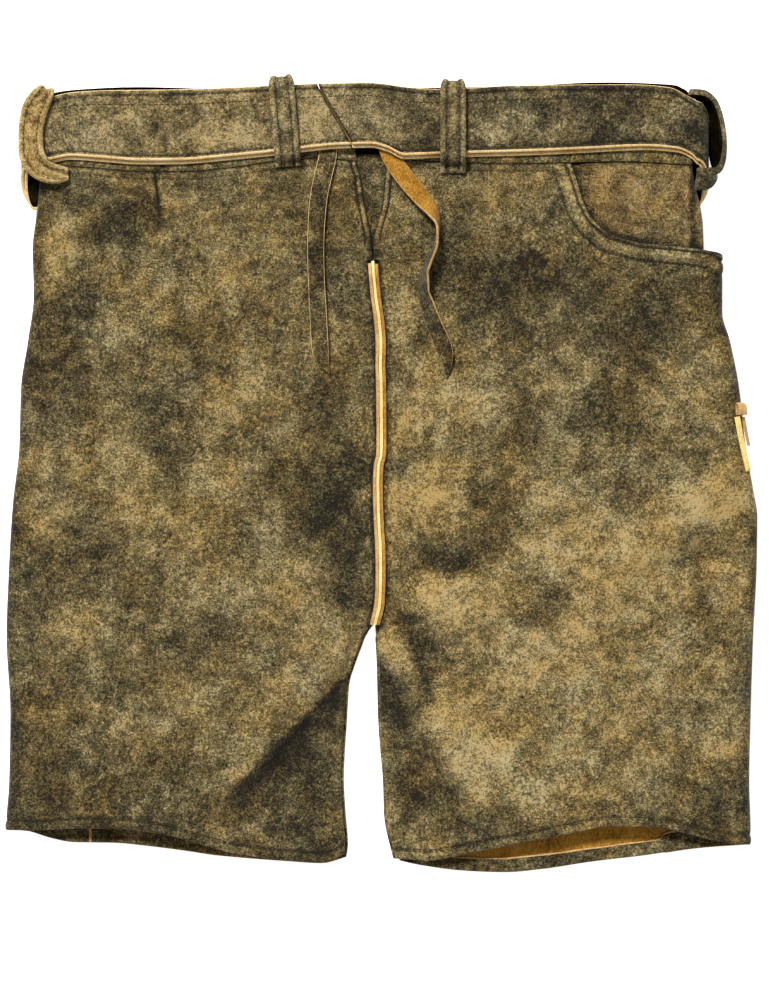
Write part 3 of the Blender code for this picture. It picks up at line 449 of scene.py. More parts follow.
class Nodes:
    """A material's node tree, written one call to a node."""

    def __init__(self, name, roughness, sheen, specular=0.18):
        self.material = bpy.data.materials.new(name)
        self.material.use_nodes = True
        self.tree = self.material.node_tree
        self.shader = self.tree.nodes["Principled BSDF"]
        self.shader.inputs["Roughness"].default_value = roughness
        self.shader.inputs["Specular IOR Level"].default_value = specular
        self.shader.inputs["Sheen Weight"].default_value = sheen
        self.shader.inputs["Sheen Roughness"].default_value = 0.55
        self.place = self.add("ShaderNodeTexCoord").outputs["Object"]

    def add(self, kind, **values):
        node = self.tree.nodes.new(kind)
        for key, value in values.items():
            setattr(node, key, value)
        return node

    def link(self, a, b):
        self.tree.links.new(a, b)

    def grain(self, wave, detail=2.0, roughness=0.55, stretch=None):
        """Noise about 0, its waves `wave` millimetres long."""
        node = self.add("ShaderNodeTexNoise")
        node.inputs["Scale"].default_value = 1 / (wave * MM)
        node.inputs["Detail"].default_value = detail
        node.inputs["Roughness"].default_value = roughness
        place = self.place
        if stretch:
            mapping = self.add("ShaderNodeMapping")
            mapping.inputs["Scale"].default_value = stretch
            self.link(place, mapping.inputs["Vector"])
            place = mapping.outputs["Vector"]
        self.link(place, node.inputs["Vector"])
        return self.maths("SUBTRACT", node.outputs["Fac"], 0.5)

    def maths(self, operation, a, b):
        node = self.add("ShaderNodeMath", operation=operation)
        for socket, value in zip(node.inputs, (a, b)):
            if isinstance(value, (int, float)):
                socket.default_value = value
            else:
                self.link(value, socket)
        return node.outputs["Value"]

    def total(self, parts):
        """Sum of output times weight for each (output, weight)."""
        value = 0.0
        for output, weight in parts:
            value = self.maths("ADD", self.maths("MULTIPLY", output, weight), value)
        return value

    def ramp(self, value, stops, share=1.0):
        node = self.add("ShaderNodeValToRGB")
        elements = node.color_ramp.elements
        while len(elements) < len(stops):
            elements.new(0.5)
        for element, (place, colour) in zip(elements, stops):
            element.position = place
            element.color = srgb(*colour, share)
        self.link(value, node.inputs["Fac"])
        return node.outputs["Color"]

    def attribute(self, name):
        return self.add("ShaderNodeAttribute", attribute_name=name).outputs["Fac"]

    def bump(self, height, distance, strength):
        node = self.add("ShaderNodeBump")
        node.inputs["Distance"].default_value = distance * MM
        node.inputs["Strength"].default_value = strength
        self.link(height, node.inputs["Height"])
        self.link(node.outputs["Normal"], self.shader.inputs["Normal"])


ALBEDO = 0.66          # share of a napped face's colour that it gives back


def suede(name, stops, warm, speckle=1.0, patches=1.0, sheen=0.12, specular=0.18):
    """Mottled suede: patches, cloudy blotches, and a short speckled nap."""
    nodes = Nodes(name, 0.93, sheen, specular)
    nap = nodes.grain(1.15, 2.0, 0.7)
    fine = nodes.grain(2.6, 2.0, 0.6)
    level = nodes.total([
        (nodes.attribute("tone"), 0.27 * patches), (nodes.grain(34, 3.0, 0.6), 0.8 * patches),
        (nodes.grain(11, 3.0, 0.6), 1.05), (fine, 1.05 * speckle), (nap, 1.9 * speckle)])
    colour = nodes.ramp(nodes.maths("ADD", level, 0.5), stops, ALBEDO)
    blend = nodes.add("ShaderNodeMix", data_type="RGBA", blend_type="MULTIPLY")
    share = nodes.total([(nodes.grain(27, 3.0, 0.6), 3.6), (nodes.attribute("tone"), 0.14)])
    clamp = nodes.add("ShaderNodeClamp")
    nodes.link(nodes.maths("ADD", share, 0.5), clamp.inputs["Value"])
    nodes.link(clamp.outputs["Result"], blend.inputs["Factor"])
    nodes.link(colour, blend.inputs["A"])
    blend.inputs["B"].default_value = warm
    nodes.link(blend.outputs["Result"], nodes.shader.inputs["Base Color"])
    height = nodes.total([(nap, 1.0), (fine, 1.2), (nodes.grain(0.6, 1.0), 0.5)])
    nodes.bump(height, 0.5, 0.55)
    return nodes.material


def plain(name, stops, wave=1.4):
    """Flesh side, cut edge or thread: one colour with fibres and grain."""
    nodes = Nodes(name, 0.9, 0.08)
    fine = nodes.grain(wave, 3.0, 0.65)
    fibre = nodes.grain(wave * 0.6, 2.0, 0.6, (1.0, 0.35, 1.0))
    level = nodes.total([(fine, 1.1), (fibre, 0.8), (nodes.grain(14, 2.0), 0.7),
                         (nodes.attribute("tone"), 0.1)])
    colour = nodes.ramp(nodes.maths("ADD", level, 0.5), stops)
    nodes.link(colour, nodes.shader.inputs["Base Color"])
    nodes.bump(nodes.total([(fine, 1.0), (fibre, 0.7)]), 0.35, 0.5)
    return nodes.material


OUTSIDE = suede("suede_outside", [
    (0.0, (30, 26, 12)), (0.22, (66, 57, 32)), (0.5, (109, 98, 65)),
    (0.74, (154, 138, 94)), (1.0, (208, 188, 138))], (1.0, 0.85, 0.60, 1.0))
BELT = suede("suede_belt", [
    (0.0, (32, 28, 16)), (0.22, (68, 60, 38)), (0.5, (112, 100, 68)),
    (0.74, (154, 138, 98)), (1.0, (208, 188, 142))], (1.0, 0.91, 0.74, 1.0))
WARM = suede("suede_hip", [
    (0.0, (34, 27, 12)), (0.22, (70, 58, 32)), (0.5, (116, 99, 62)),
    (0.74, (152, 131, 86)), (1.0, (200, 176, 126))], (1.0, 0.86, 0.64, 1.0))
# painted shade: near-black suede for inner faces that lie in deep shadow, inside the waistband, belt
# lining and loops
SHADE_SUEDE = suede("suede_shade", [
    (0.0, (8, 7, 5)), (0.3, (17, 14, 9)), (0.6, (28, 23, 15)), (1.0, (50, 41, 27))],
    (1.0, 0.90, 0.74, 1.0), 0.7, sheen=0.0, specular=0.0)
SIDE_LOOP = suede("suede_worn", [
    (0.0, (62, 49, 24)), (0.25, (112, 91, 50)), (0.5, (164, 138, 86)),
    (0.75, (206, 180, 122)), (1.0, (240, 216, 160))], (1.0, 0.91, 0.74, 1.0), 0.9, 0.6)
REVERSE = plain("suede_reverse", [
    (0.0, (98, 62, 12)), (0.3, (136, 92, 24)), (0.55, (170, 122, 42)), (1.0, (204, 158, 76))])
CUT = plain("cut_edge", [
    (0.0, (150, 112, 62)), (0.4, (212, 176, 116)), (0.6, (234, 202, 144)), (1.0, (250, 226, 176))])
TAN = plain("tan_edge", [
    (0.0, (128, 90, 48)), (0.4, (180, 140, 88)), (0.6, (200, 162, 108)), (1.0, (228, 196, 144))])
ORANGE = plain("raw_edge", [
    (0.0, (104, 68, 24)), (0.4, (152, 108, 46)), (0.6, (176, 130, 62)), (1.0, (206, 164, 92))])
CREAM = plain("seam_core", [
    (0.0, (190, 150, 78)), (0.4, (230, 200, 122)), (0.65, (242, 218, 142)),
    (1.0, (250, 236, 176))])
DARK_THREAD = plain("thread_dark", [
    (0.0, (30, 26, 14)), (0.5, (52, 44, 26)), (1.0, (84, 72, 44))], 0.5)


# ---- building walls ----
OUTER_FACE, INNER_FACE, CUT_FACE = range(3)
ALL_CUT = (1, 1, 1, 1)
SHARP = math.radians(48)
ROUNDING = 0.9         # a cut edge's rounding reaches this far in


def finish_piece(name, vertices, faces, slots, materials, tone=None):
    mesh = bpy.data.meshes.new(name)
    mesh.from_pydata(np.asarray(vertices) * MM, [], faces)
    for material in materials:
        mesh.materials.append(material)
    mesh.polygons.foreach_set("material_index", np.asarray(slots, np.int32))
    mesh.polygons.foreach_set("use_smooth", np.ones(len(faces), bool))
    if tone is not None:
        layer = mesh.attributes.new("tone", "FLOAT", "POINT")
        layer.data.foreach_set("value", np.asarray(tone, np.float32))
    mesh.validate()
    mesh.set_sharp_from_angle(angle=SHARP)
    piece = bpy.data.objects.new(name, mesh)
    bpy.context.scene.collection.objects.link(piece)
    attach(piece, "root")
    return piece


def wall(name, mid, half, looks, tone=None, flip=False, rings=(0, 0, 0, 0), relief=0.0,
         cut=False):
    """A closed wall about the surface mid, rows x columns x 3, half thickness half.

    looks are the materials of its outer face, inner face and cut edge; rings are
    how many rings of faces show the cut at its low, high, first and last edges;
    relief raises the outer face alone; cut marks further faces that show the cut.
    It stands for the node of its own name. Gives the piece and its outer surface."""
    rows, columns = mid.shape[:2]
    normal = np.cross(np.gradient(mid, axis=1), np.gradient(mid, axis=0))
    normal /= np.maximum(np.linalg.norm(normal, axis=2, keepdims=True), 1e-9)
    if flip:
        normal = -normal
    thick = np.broadcast_to(np.asarray(half, float), (rows, columns))[..., None]
    proud = np.broadcast_to(np.asarray(relief, float), (rows, columns))[..., None]
    outside = mid + normal * (thick + proud)
    vertices = np.concatenate([outside.reshape(-1, 3), (mid - normal * thick).reshape(-1, 3)])
    index = np.arange(rows * columns).reshape(rows, columns)
    a, b = index[:-1, :-1].ravel(), index[:-1, 1:].ravel()
    c, d = index[1:, 1:].ravel(), index[1:, :-1].ravel()
    outer = np.stack([a, b, c, d], 1)
    inner = outer[:, ::-1] + rows * columns
    loop = np.concatenate([index[0, :-1], index[:-1, -1], index[-1, :0:-1], index[:0:-1, 0]])
    after = np.roll(loop, -1)
    rim = np.stack([loop, loop + rows * columns, after + rows * columns, after], 1)
    faces = np.concatenate([outer, inner, rim])
    if flip:
        faces = faces[:, ::-1]
    ring = np.zeros((rows - 1, columns - 1), bool)
    ring[:rings[0]] = True
    ring[rows - 1 - rings[1]:] = True
    ring[:, :rings[2]] = True
    ring[:, columns - 1 - rings[3]:] = True
    ring |= cut
    ring = ring.ravel()
    rim_slots = np.concatenate([
        np.full(count, CUT_FACE if shown else OUTER_FACE)
        for count, shown in ((columns - 1, rings[0]), (rows - 1, rings[3]),
                             (columns - 1, rings[1]), (rows - 1, rings[2]))])
    slots = np.concatenate([np.where(ring, CUT_FACE, OUTER_FACE),
                            np.where(ring, CUT_FACE, INNER_FACE), rim_slots])
    if tone is None:
        tone = wear_and_fold_shade_tone(mid[..., 0], mid[..., 1])
    tone = np.tile(np.broadcast_to(tone, (rows, columns)).ravel(), 2)
    piece = finish_piece("leather_" + name, vertices, faces.tolist(), slots, looks, tone)
    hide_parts(name)
    return piece, outside


def lines(length, start=True, end=True, step=STEP, extra=()):
    """Distances for grid lines from 0 to length, closer where an edge is rounded."""
    low = list(EDGE) if start else [0.0]
    high = [length - d for d in EDGE][::-1] if end else [length]
    count = max(1, int(round((high[0] - low[-1]) / step)))
    between = [mix(low[-1], high[0], k / count) for k in range(1, count)]
    between = [d for d in between if all(abs(d - e) > 0.4 for e in extra)]
    return np.array(sorted(set(low + between + list(extra) + high)))


def edge_round(distance):
    """Share of the full thickness left at this distance from a cut edge."""
    return 1 - 0.5 * (1 - np.clip(distance / ROUNDING, 0, 1)) ** 2


def stitches(name, runs, material, length=2.7, gap=1.1, radius=0.33):
    """Short threads along each run, a dense list of points on the leather."""
    sides, rings = 6, 5
    vertices, faces = [], []
    for run in runs:
        run = np.asarray(run, float)
        away = np.concatenate([[0], np.cumsum(np.linalg.norm(np.diff(run, axis=0), axis=1))])
        starts = np.arange(gap, away[-1] - length, length + gap)
        for start in starts:
            spots = np.stack([np.interp(start + length * np.linspace(0, 1, rings), away, run[:, k])
                              for k in range(3)], 1)
            line = spots[-1] - spots[0]
            line /= np.linalg.norm(line)
            aside = np.cross(line, (0, 0, 1.0))
            aside /= max(np.linalg.norm(aside), 1e-6)
            up = np.cross(aside, line)
            base = len(vertices)
            for k in range(rings):
                bulge = math.sin(math.pi * (0.12 + 0.76 * k / (rings - 1)))
                centre = spots[k] + up * radius * (bulge * 0.9 - 0.45)
                for s in range(sides):
                    turn = 2 * math.pi * s / sides
                    reach = radius * (0.35 + 0.65 * bulge)
                    vertices.append(centre + (aside * math.cos(turn) + up * math.sin(turn)) * reach)
            for k in range(rings - 1):
                for s in range(sides):
                    n = (s + 1) % sides
                    faces.append([base + k * sides + s, base + k * sides + n,
                                  base + (k + 1) * sides + n, base + (k + 1) * sides + s])
            faces.append([base + s for s in range(sides)][::-1])
            faces.append([base + (rings - 1) * sides + s for s in range(sides)])
    return finish_piece(name, vertices, faces, [OUTER_FACE] * len(faces), [material])


def spans(mid, axis):
    """Distance along the grid from its first line, along one axis."""
    step = np.linalg.norm(np.diff(mid, axis=axis), axis=2)
    zero = np.zeros_like(np.take(step, [0], axis=axis))
    return np.concatenate([zero, np.cumsum(step, axis=axis)], axis=axis)


def line_at(grid, axis, distance, beside):
    """Index of the grid line this far from the first one, measured at line `beside`."""
    away = np.take(spans(grid, axis), beside, axis=1 - axis)
    return int(np.argmin(abs(away - distance)))


def rounded(mid, thickness, sides="abcd"):
    """Half thickness over a grid, less at its low, high, first and last edges."""
    along, across = spans(mid, 0), spans(mid, 1)
    share = np.ones(mid.shape[:2])
    for word, distance in (("a", along), ("b", along[-1:] - along),
                           ("c", across), ("d", across[:, -1:] - across)):
        if word in sides:
            share = np.minimum(share, edge_round(distance))
    return share * thickness / 2


def path_through(stations, step):
    """Stations made into a close, smooth line: the same columns, more rows."""
    stations = np.array(stations, float)
    away = np.concatenate([[0], np.cumsum(np.linalg.norm(np.diff(stations[:, :3], axis=0), axis=1))])
    where = lines(away[-1], step=step)
    return np.stack([read(list(zip(away, column)), where) for column in stations.T], 1)


def ribbon(stations, step, across, level=None):
    """Grid of a strip through stations of (x, y, z, tilt degrees, half width)."""
    rows = path_through(stations, step)
    centre = rows[:, :3]
    run = np.gradient(centre, axis=0)
    if level is None:
        flat = np.stack([run[:, 1], -run[:, 0], np.zeros(len(run))], 1)
    else:
        flat = np.tile(np.array(level, float), (len(run), 1))
    length = np.linalg.norm(flat, axis=1, keepdims=True)
    last = np.array([1.0, 0, 0])
    for k in range(len(flat)):
        flat[k] = flat[k] / length[k] if length[k] > 0.01 * np.linalg.norm(run[k]) else last
        if flat[k] @ last < 0:
            flat[k] = -flat[k]
        last = flat[k]
    angle = np.radians(rows[:, 3:4])
    reach = (flat * np.cos(angle) + np.array([0, 0, 1.0]) * np.sin(angle)) * rows[:, 4:5]
    return centre[:, None, :] + reach[:, None, :] * np.asarray(across)[None, :, None]


# ---- the fronts: over the top, round the outer fold, back to the side seam ----
def wrapped(side, shape, top, rows, roll, under):
    """Middle of a front piece: its columns are top, then roll, then under."""
    outer = shape["outer"]

    def turn(y):
        high = shape["mid"](outer(y), y)
        radius = (high - back_mid(y)) / 2
        return radius, outer(y) - side * (radius + LEATHER / 2), high - radius

    share, t = rows[:, None], top[None, :]
    y = mix(shape["low"](t), shape["high"](t), share)
    x = mix(shape["inner"](y), turn(y)[1], t)
    over = np.stack([x, y, shape["mid"](x, y)], 2)
    t = roll[None, :]
    y = mix(mix(shape["low"](1.0), shape["under_low"](0.0), t),
            mix(shape["high"](1.0), shape["under_high"](0.0), t), share) + 0 * t
    radius, middle, height = turn(y)
    angle = math.pi * (0.5 - t)
    bend = np.stack([middle + side * radius * np.cos(angle), y,
                     height + radius * np.sin(angle)], 2)
    t = under[None, :]
    y = mix(shape["under_low"](t), shape["under_high"](t), share) + 0 * t
    back = np.stack([mix(turn(y)[1], side_seam(side, y) + side * SEAM / 2, t), y,
                     back_mid(y) + 0 * t], 2)
    return np.concatenate([over, bend, back], 1)


def hem_at(side, table, t):
    """A hem's y at a share of the way from a leg's inner edge to its outer fold."""
    inner = front_inner(side, HEM_Y)
    outer = (left_outer if side < 0 else right_outer)(HEM_Y)
    return read(table, mix(inner, outer - side * ROLL_AT_HEM, t))


def seam_at(side, t):
    """The waist seam's y at such a share."""
    outer = (left_outer if side < 0 else right_outer)(SHARE_Y)
    return read(WAIST_SEAM, mix(front_inner(side, SHARE_Y), outer, t))


def pocket_share(x, y):
    """The share at which a point of the pocket's edge lies."""
    return (x - front_inner(RIGHT, y)) / (right_outer(y) - ROLL_AT_HEM - front_inner(RIGHT, y))


POCKET_STOPS = [(float(pocket_share(x, y)), y) for x, y in POCKET_EDGE[:8]] + [(1.0, 149.0)]


def right_top(t):
    """Upper end of the right front: the waist seam, then the pocket's edge."""
    start = front_inner(RIGHT, SHARE_Y)
    seam = read(WAIST_SEAM, mix(start, POCKET_EDGE[0][0], t / POCKET_STOPS[0][0]))
    return np.where(t < POCKET_STOPS[0][0], seam, read(POCKET_STOPS, t))


def distance_to(x, y, line):
    """Distance of each grid point from a line of (x, y)."""
    line = np.array(line, float)
    dense = np.concatenate([np.linspace(a, b, 24) for a, b in zip(line[:-1], line[1:])])
    far = np.full(x.shape, 1e9)
    for px, py in dense:
        far = np.minimum(far, (x - px) ** 2 + (y - py) ** 2)
    return np.sqrt(far)


ROLL = np.arange(1, 13) / 12
HEM_LINES = (2.2, 3.4, 4.6, 5.6, 6.4, 7.2, 8.2)            # grid lines above the hem
WAIST_LINES = (3.8, 4.7, 5.6, 7.0, 10.6, 11.6, 12.6, 13.6)  # and below the waist seam
# how strong the patches of wear and painted fold light are, how much more so down the leg, how pale all
# is, and the lines of painted fold shade
TONES_LEFT = (1.2, -0.35, -0.02, SHADES_LEFT)
TONES_RIGHT = (1.6, 0.1, 0.24, SHADES_RIGHT)
PALEST = 1.5
DARKEST = 1.4


def front_piece(name, side, shape, top, low, high, pocket=None):
    """A front with its turned hem, seams and the fly edge in relief."""
    span = high - low
    extra = list(HEM_LINES) + [WELT_FOOT - 0.1 - low, FLY_FOOT + 0.1 - low]
    extra += [span - d for d in WAIST_LINES]
    rows = lines(span, extra=extra) / span
    mid = wrapped(side, shape, top, rows, ROLL, lines(100, start=False, step=7)[1:] / 100)
    x, y = mid[..., 0], mid[..., 1]
    along = spans(mid, 0)
    hem, waist = along, along[-1:] - along
    inner = spans(mid, 1)
    fly = ease((y - 152) / 8)
    leg = ease((-100 - y) / 8)
    standing = ease((mid[..., 2] - 2.0) / 1.4)
    seat = (1 - fly) * (1 - leg)
    relief = ridges(hem, HEM_RELIEF) + fly * ridges(inner, FLY_RELIEF)
    relief += leg * ridges(inner, LEG_RELIEF) + seat * ridges(inner, SEAT_RELIEF)
    # painted highlight on the edges' ridges, painted shade in their grooves and seams
    edge_light_and_shade = ridges(hem, HEM_GROOVE_SHADE) + seat * ridges(inner, SEAT_SEAM_SHADE)
    edge_light_and_shade += fly * ridges(inner, FLY_LIGHT_AND_SHADE) + ridges(waist, WAIST_SEAM_SHADE)
    if pocket is None:
        relief += ridges(waist, WAIST_RELIEF)
    else:
        far = distance_to(x, y, pocket)
        beside = ease((118 - x) / 6)
        relief += beside * ridges(waist, WAIST_RELIEF) + (1 - beside) * ridges(far, LIP_RELIEF)
        edge_light_and_shade += (1 - beside) * ridges(far, LIP_LIGHT_AND_SHADE)
    half = rounded(mid, LEATHER)
    folds = fold_height(FOLDS_LEFT if side < 0 else FOLDS_RIGHT, x, y)
    folds += fold_height(CREASES_LEFT if side < 0 else CREASES_RIGHT, x, y)
    gain, gain_low, lift, shades = TONES_LEFT if side < 0 else TONES_RIGHT
    gain = gain * (1 + gain_low * ease((-100 - y) / 40))
    # painted light and shade: fold crests made paler and troughs darker, added to the wear patches,
    # with the painted fold shade lines
    tone = gain * wear_and_fold_shade_tone(x, y) + lift + 0.16 * folds + fold_height(shades, x, y)
    bound = np.where(tone > 0, PALEST, DARKEST)
    tone = bound * np.tanh(tone / bound) + edge_light_and_shade
    if side < 0:
        # painted shade along the dart's crease
        tone += fold_height([DART_SHADE], x, y) - 0.12 * ease((-150 - y) / 30)
    # painted shade where the front turns down over its outer fold
    tone -= 0.9 * near(side * (shape["outer"](y) - x), 0, 7)
    return (*wall(name, mid, half, [OUTSIDE, REVERSE, OUTSIDE], tone=tone, flip=side < 0,
                  relief=relief * standing), mid)


def top_columns(width, extra=()):
    return lines(width, end=False, extra=[4.2, 5.2, 6.4] + list(extra)) / width


LEFT_FRONT = {
    "inner": lambda y: front_inner(LEFT, y), "outer": left_outer,
    "mid": left_mid, "low": lambda t: hem_at(LEFT, FRONT_HEM_LEFT, t),
    "high": lambda t: seam_at(LEFT, t),
    "under_low": lambda t: read(BACK_HEM_LEFT, mix(-247.0, -195.0, t)),
    "under_high": lambda t: BACK_WAIST_Y}
RIGHT_FRONT = {
    "inner": lambda y: front_inner(RIGHT, y), "outer": right_outer,
    "mid": right_mid, "low": lambda t: hem_at(RIGHT, FRONT_HEM_RIGHT, t),
    "high": right_top,
    "under_low": lambda t: read(BACK_HEM_RIGHT, mix(242.0, 190.0, t)),
    "under_high": lambda t: POCKET_EDGE[-1][1]}

LEG_WIDTH = 215.0
DART = [LEG_WIDTH * 0.651 + d for d in (-3.6, -2.4, -1.2, 0.0, 1.2, 2.4, 3.6)]
front_left, over_left, mid_left = front_piece(
    "front_left", LEFT, LEFT_FRONT, top_columns(LEG_WIDTH, DART),
    float(hem_at(LEFT, FRONT_HEM_LEFT, 0.0)), float(seam_at(LEFT, 0.0)))
POCKET_FROM = POCKET_STOPS[0][0] * LEG_WIDTH
STEEP = [POCKET_FROM + d for d in np.arange(-11.2, 20.0, 0.8)]
front_right, over_right, mid_right = front_piece(
    "front_right", RIGHT, RIGHT_FRONT, top_columns(LEG_WIDTH, STEEP),
    float(hem_at(RIGHT, FRONT_HEM_RIGHT, 0.0)), float(right_top(0.0)), POCKET_EDGE)


# ---- hip piece inside the pocket, and the waistband ----
def hip_mid(x, y):
    """Height of the hip piece: as the front's, but lower close behind the pocket's edge."""
    drop = HIP_DROP * (1 - ease((y - read(POCKET_EDGE, x - 6) - 5) / 13))
    return front_mid(RIGHT, x, y, front_inner(RIGHT, y), right_outer(y) - ROLL_AT_HEM) - drop


HIP = {
    "inner": lambda y: HIP_START + 0 * y, "outer": hip_outer, "mid": hip_mid,
    "low": lambda t: np.maximum(POCKET_EDGE[-1][1] + SEAM,
                                read(POCKET_EDGE, mix(HIP_START, 206.0, t) + 7) - 5),
    "high": lambda t: read(WAIST_SEAM, mix(HIP_START, 206.0, t)) - 0.4,
    "under_low": lambda t: POCKET_EDGE[-1][1] + SEAM, "under_high": lambda t: BACK_WAIST_Y}
UNDER = lines(60, start=False, step=7)[1:] / 60
hip = wrapped(RIGHT, HIP, lines(92.0, end=False) / 92, lines(58.0) / 58, ROLL, UNDER)
# painted shade and highlight along the hip's crease and roll, painted shadow under the pocket's edge
# and painted shade at the waist seam, over the wear patches
hip_wear_and_shade = 0.25 + wear_and_fold_shade_tone(hip[..., 0], hip[..., 1]) - 1.6 * near(hip[..., 0], 208.4, 2.6)
hip_wear_and_shade += 0.8 * near(hip[..., 0], 204.6, 1.6)
hip_wear_and_shade -= 2.0 * near(distance_to(hip[..., 0], hip[..., 1], POCKET_EDGE[:9]), 0.0, 4.0)
hip_wear_and_shade -= 1.2 * near(spans(hip, 0)[-1:] - spans(hip, 0), 0.0, 1.4)
pocket_hip_panel, _ = wall("pocket_hip_panel", hip, rounded(hip, LEATHER),
                           [WARM, REVERSE, WARM], tone=hip_wear_and_shade)


def band_low(side, end, t):
    return read(WAIST_SEAM, mix(float(front_inner(side, SHARE_Y)), end, t)) + SEAM


for side, word, reach in ((LEFT, "left", left_outer), (RIGHT, "right", hip_outer)):
    start, end = float(front_inner(side, BAND_Y)), float(reach(BAND_Y))
    foot = float(left_outer(SHARE_Y)) if side < 0 else end
    shape = {
        "inner": lambda y, side=side: front_inner(side, y), "outer": reach,
        "mid": lambda x, y: FRONT_MID + 0 * x + 0 * y,
        "low": lambda t, side=side, foot=foot: band_low(side, foot, t),
        "high": lambda t, a=start, b=end: read(BELT_TOP, mix(a, b, t)) - 3.5,
        "under_low": lambda t: BACK_WAIST_Y + SEAM,
        "under_high": lambda t, side=side, b=end: read(
            BAND_TOP_BACK, mix(b, side_seam(side, BAND_Y), t))}
    band = wrapped(side, shape, lines(210.0, end=False) / 210, lines(46.0) / 46, ROLL, UNDER)
    piece, _ = wall("waistband_front_" + word, band, rounded(band, LEATHER, "abc"),
                    [OUTSIDE, SHADE_SUEDE, OUTSIDE], flip=side < 0,
                    relief=ridges(spans(band, 0), BAND_RELIEF))


# ---- backs, waistband back and tongue: x_low, x_high at y, their ends at x ----
def flat_piece(x_low, x_high, y_low, y_high, mid, wide, tall, step):
    """Grid of a piece that lies flat between two edges x and two ends y."""
    t = (lines(wide, step=step) / wide)[None, :]
    share = (lines(tall, step=step) / tall)[:, None]
    y = mix(y_low(mix(x_low(-200.0), x_high(-200.0), t)),
            y_high(mix(x_low(200.0), x_high(200.0), t)), share)
    x = mix(x_low(y), x_high(y), t)
    return np.stack([x, y, mid(x, y) + 0 * x], 2)


def lies(x, y):
    return back_mid(y)


def back_waist(x):
    return BACK_WAIST_Y + 0 * x


for side, word, hem, seam_x in ((LEFT, "left", BACK_HEM_LEFT, BACK_SEAM_LEFT),
                                (RIGHT, "right", BACK_HEM_RIGHT, BACK_SEAM_RIGHT)):
    def low_end(x, hem=hem):
        return read(hem, x)

    edges = [lambda y, side=side: back_inner(side, y),
             lambda y, side=side, seam_x=seam_x: seam_x - side * SEAM / 2 + 0 * y]
    strip = [lambda y, side=side, seam_x=seam_x: seam_x - side * 0.1 + 0 * y,
             lambda y, side=side: side_seam(side, y) + side * 0.1]
    if side < 0:
        edges.reverse()
        strip.reverse()
    for title, (x_low, x_high), wide in (("back_" + word, edges, 100.0),
                                         ("back_side_" + word, strip, 80.0)):
        grid = flat_piece(x_low, x_high, low_end, back_waist, lies, wide, 450.0, 5.0)
        outer_strip = title.startswith("back_side")
        rings = (0, 0, 0, 0) if outer_strip else (0, 0, 5, 0) if side > 0 else (0, 0, 0, 5)
        seamed = side * (grid[..., 0] - seam_x)
        # painted shade along the seam between back and side panel
        tone = wear_and_fold_shade_tone(grid[..., 0], grid[..., 1]) - 2.5 * near(seamed, 0.0, 1.2)
        half = rounded(grid, LEATHER, "ab" if outer_strip else "abcd")
        piece, _ = wall(title, grid, half, [OUTSIDE, REVERSE, OUTSIDE], tone=tone, flip=True,
                        rings=rings)

grid = flat_piece(lambda y: side_seam(LEFT, y) - 0.1, lambda y: side_seam(RIGHT, y) + 0.1,
                  lambda x: BACK_WAIST_Y + SEAM + 0 * x, lambda x: read(BAND_TOP_BACK, x), lies,
                  380.0, 50.0, 5.0)
piece, _ = wall("waistband_back", grid, rounded(grid, LEATHER, "ab"),
                [OUTSIDE, SHADE_SUEDE, OUTSIDE], flip=True)


def gusset_mid(x, y):
    """Height of the tongue, just under the fronts' inner edges."""
    return inner_mid(y) - LEATHER / 2 - SEAM - THIN / 2 - 0.2


grid = flat_piece(lambda y: mix(-13.0, -24.0, (y - 148) / 66),
                  lambda y: mix(1.0, 11.0, (y - 148) / 66), lambda x: 143.6 + 0 * x,
                  lambda x: 214.0 + 0 * x, gusset_mid, 24.0, 70.0, 2.5)
piece, _ = wall("fly_gusset", grid, rounded(grid, THIN), [OUTSIDE, REVERSE, OUTSIDE],
                tone=-0.7)

# ---- plies on edge down the centre seam ----
for name, offset, look, tall, length in (("seam_ply_left", -1, TAN, 0.0, 242.2),
                                         ("seam_ply_core", 0, CREAM, 0.4, 243.8),
                                         ("seam_ply_right", 1, ORANGE, -0.3, 241.8)):
    y = (-101 + lines(length, step=2.0))[:, None]
    foot = back_mid(y) + LEATHER / 2 + 0.4 + 0.9 * ease((y - 100) / 30)
    crest = inner_mid(y) + LEATHER / 2 + PLY_TOP + tall + 0.25 * noise(y, offset * 50, 9, 21)
    crest = crest - 1.6 * ease((y - 136) / 7) - 1.0 * ease((-95 - y) / 6)
    share = (lines(6.0, step=1.5) / 6)[None, :]
    z = mix(foot, crest, share)
    sway = 0.5 * noise(y, 0 * y, 26, 22) + 0.3 * noise(y, 0 * y, 11, 24)
    x = read(CENTRE, y) + offset * LAYER + sway * share ** 3
    grid = np.stack([x, y + 0 * z, z], 2)
    half = (0.6 + 0.4 * rounded(grid, 2.0)) * (LEATHER / 2 + 0.12)
    piece, _ = wall(name, grid, half, [look, look, look], tone=0.0, rings=ALL_CUT)


# ---- belt ----
LEFT_RUN = 205         # length of the front run from its join to the left turn
RIGHT_RUN = 240        # and to the right turn
TURN_STEPS = 16
REAR_STEPS = 89


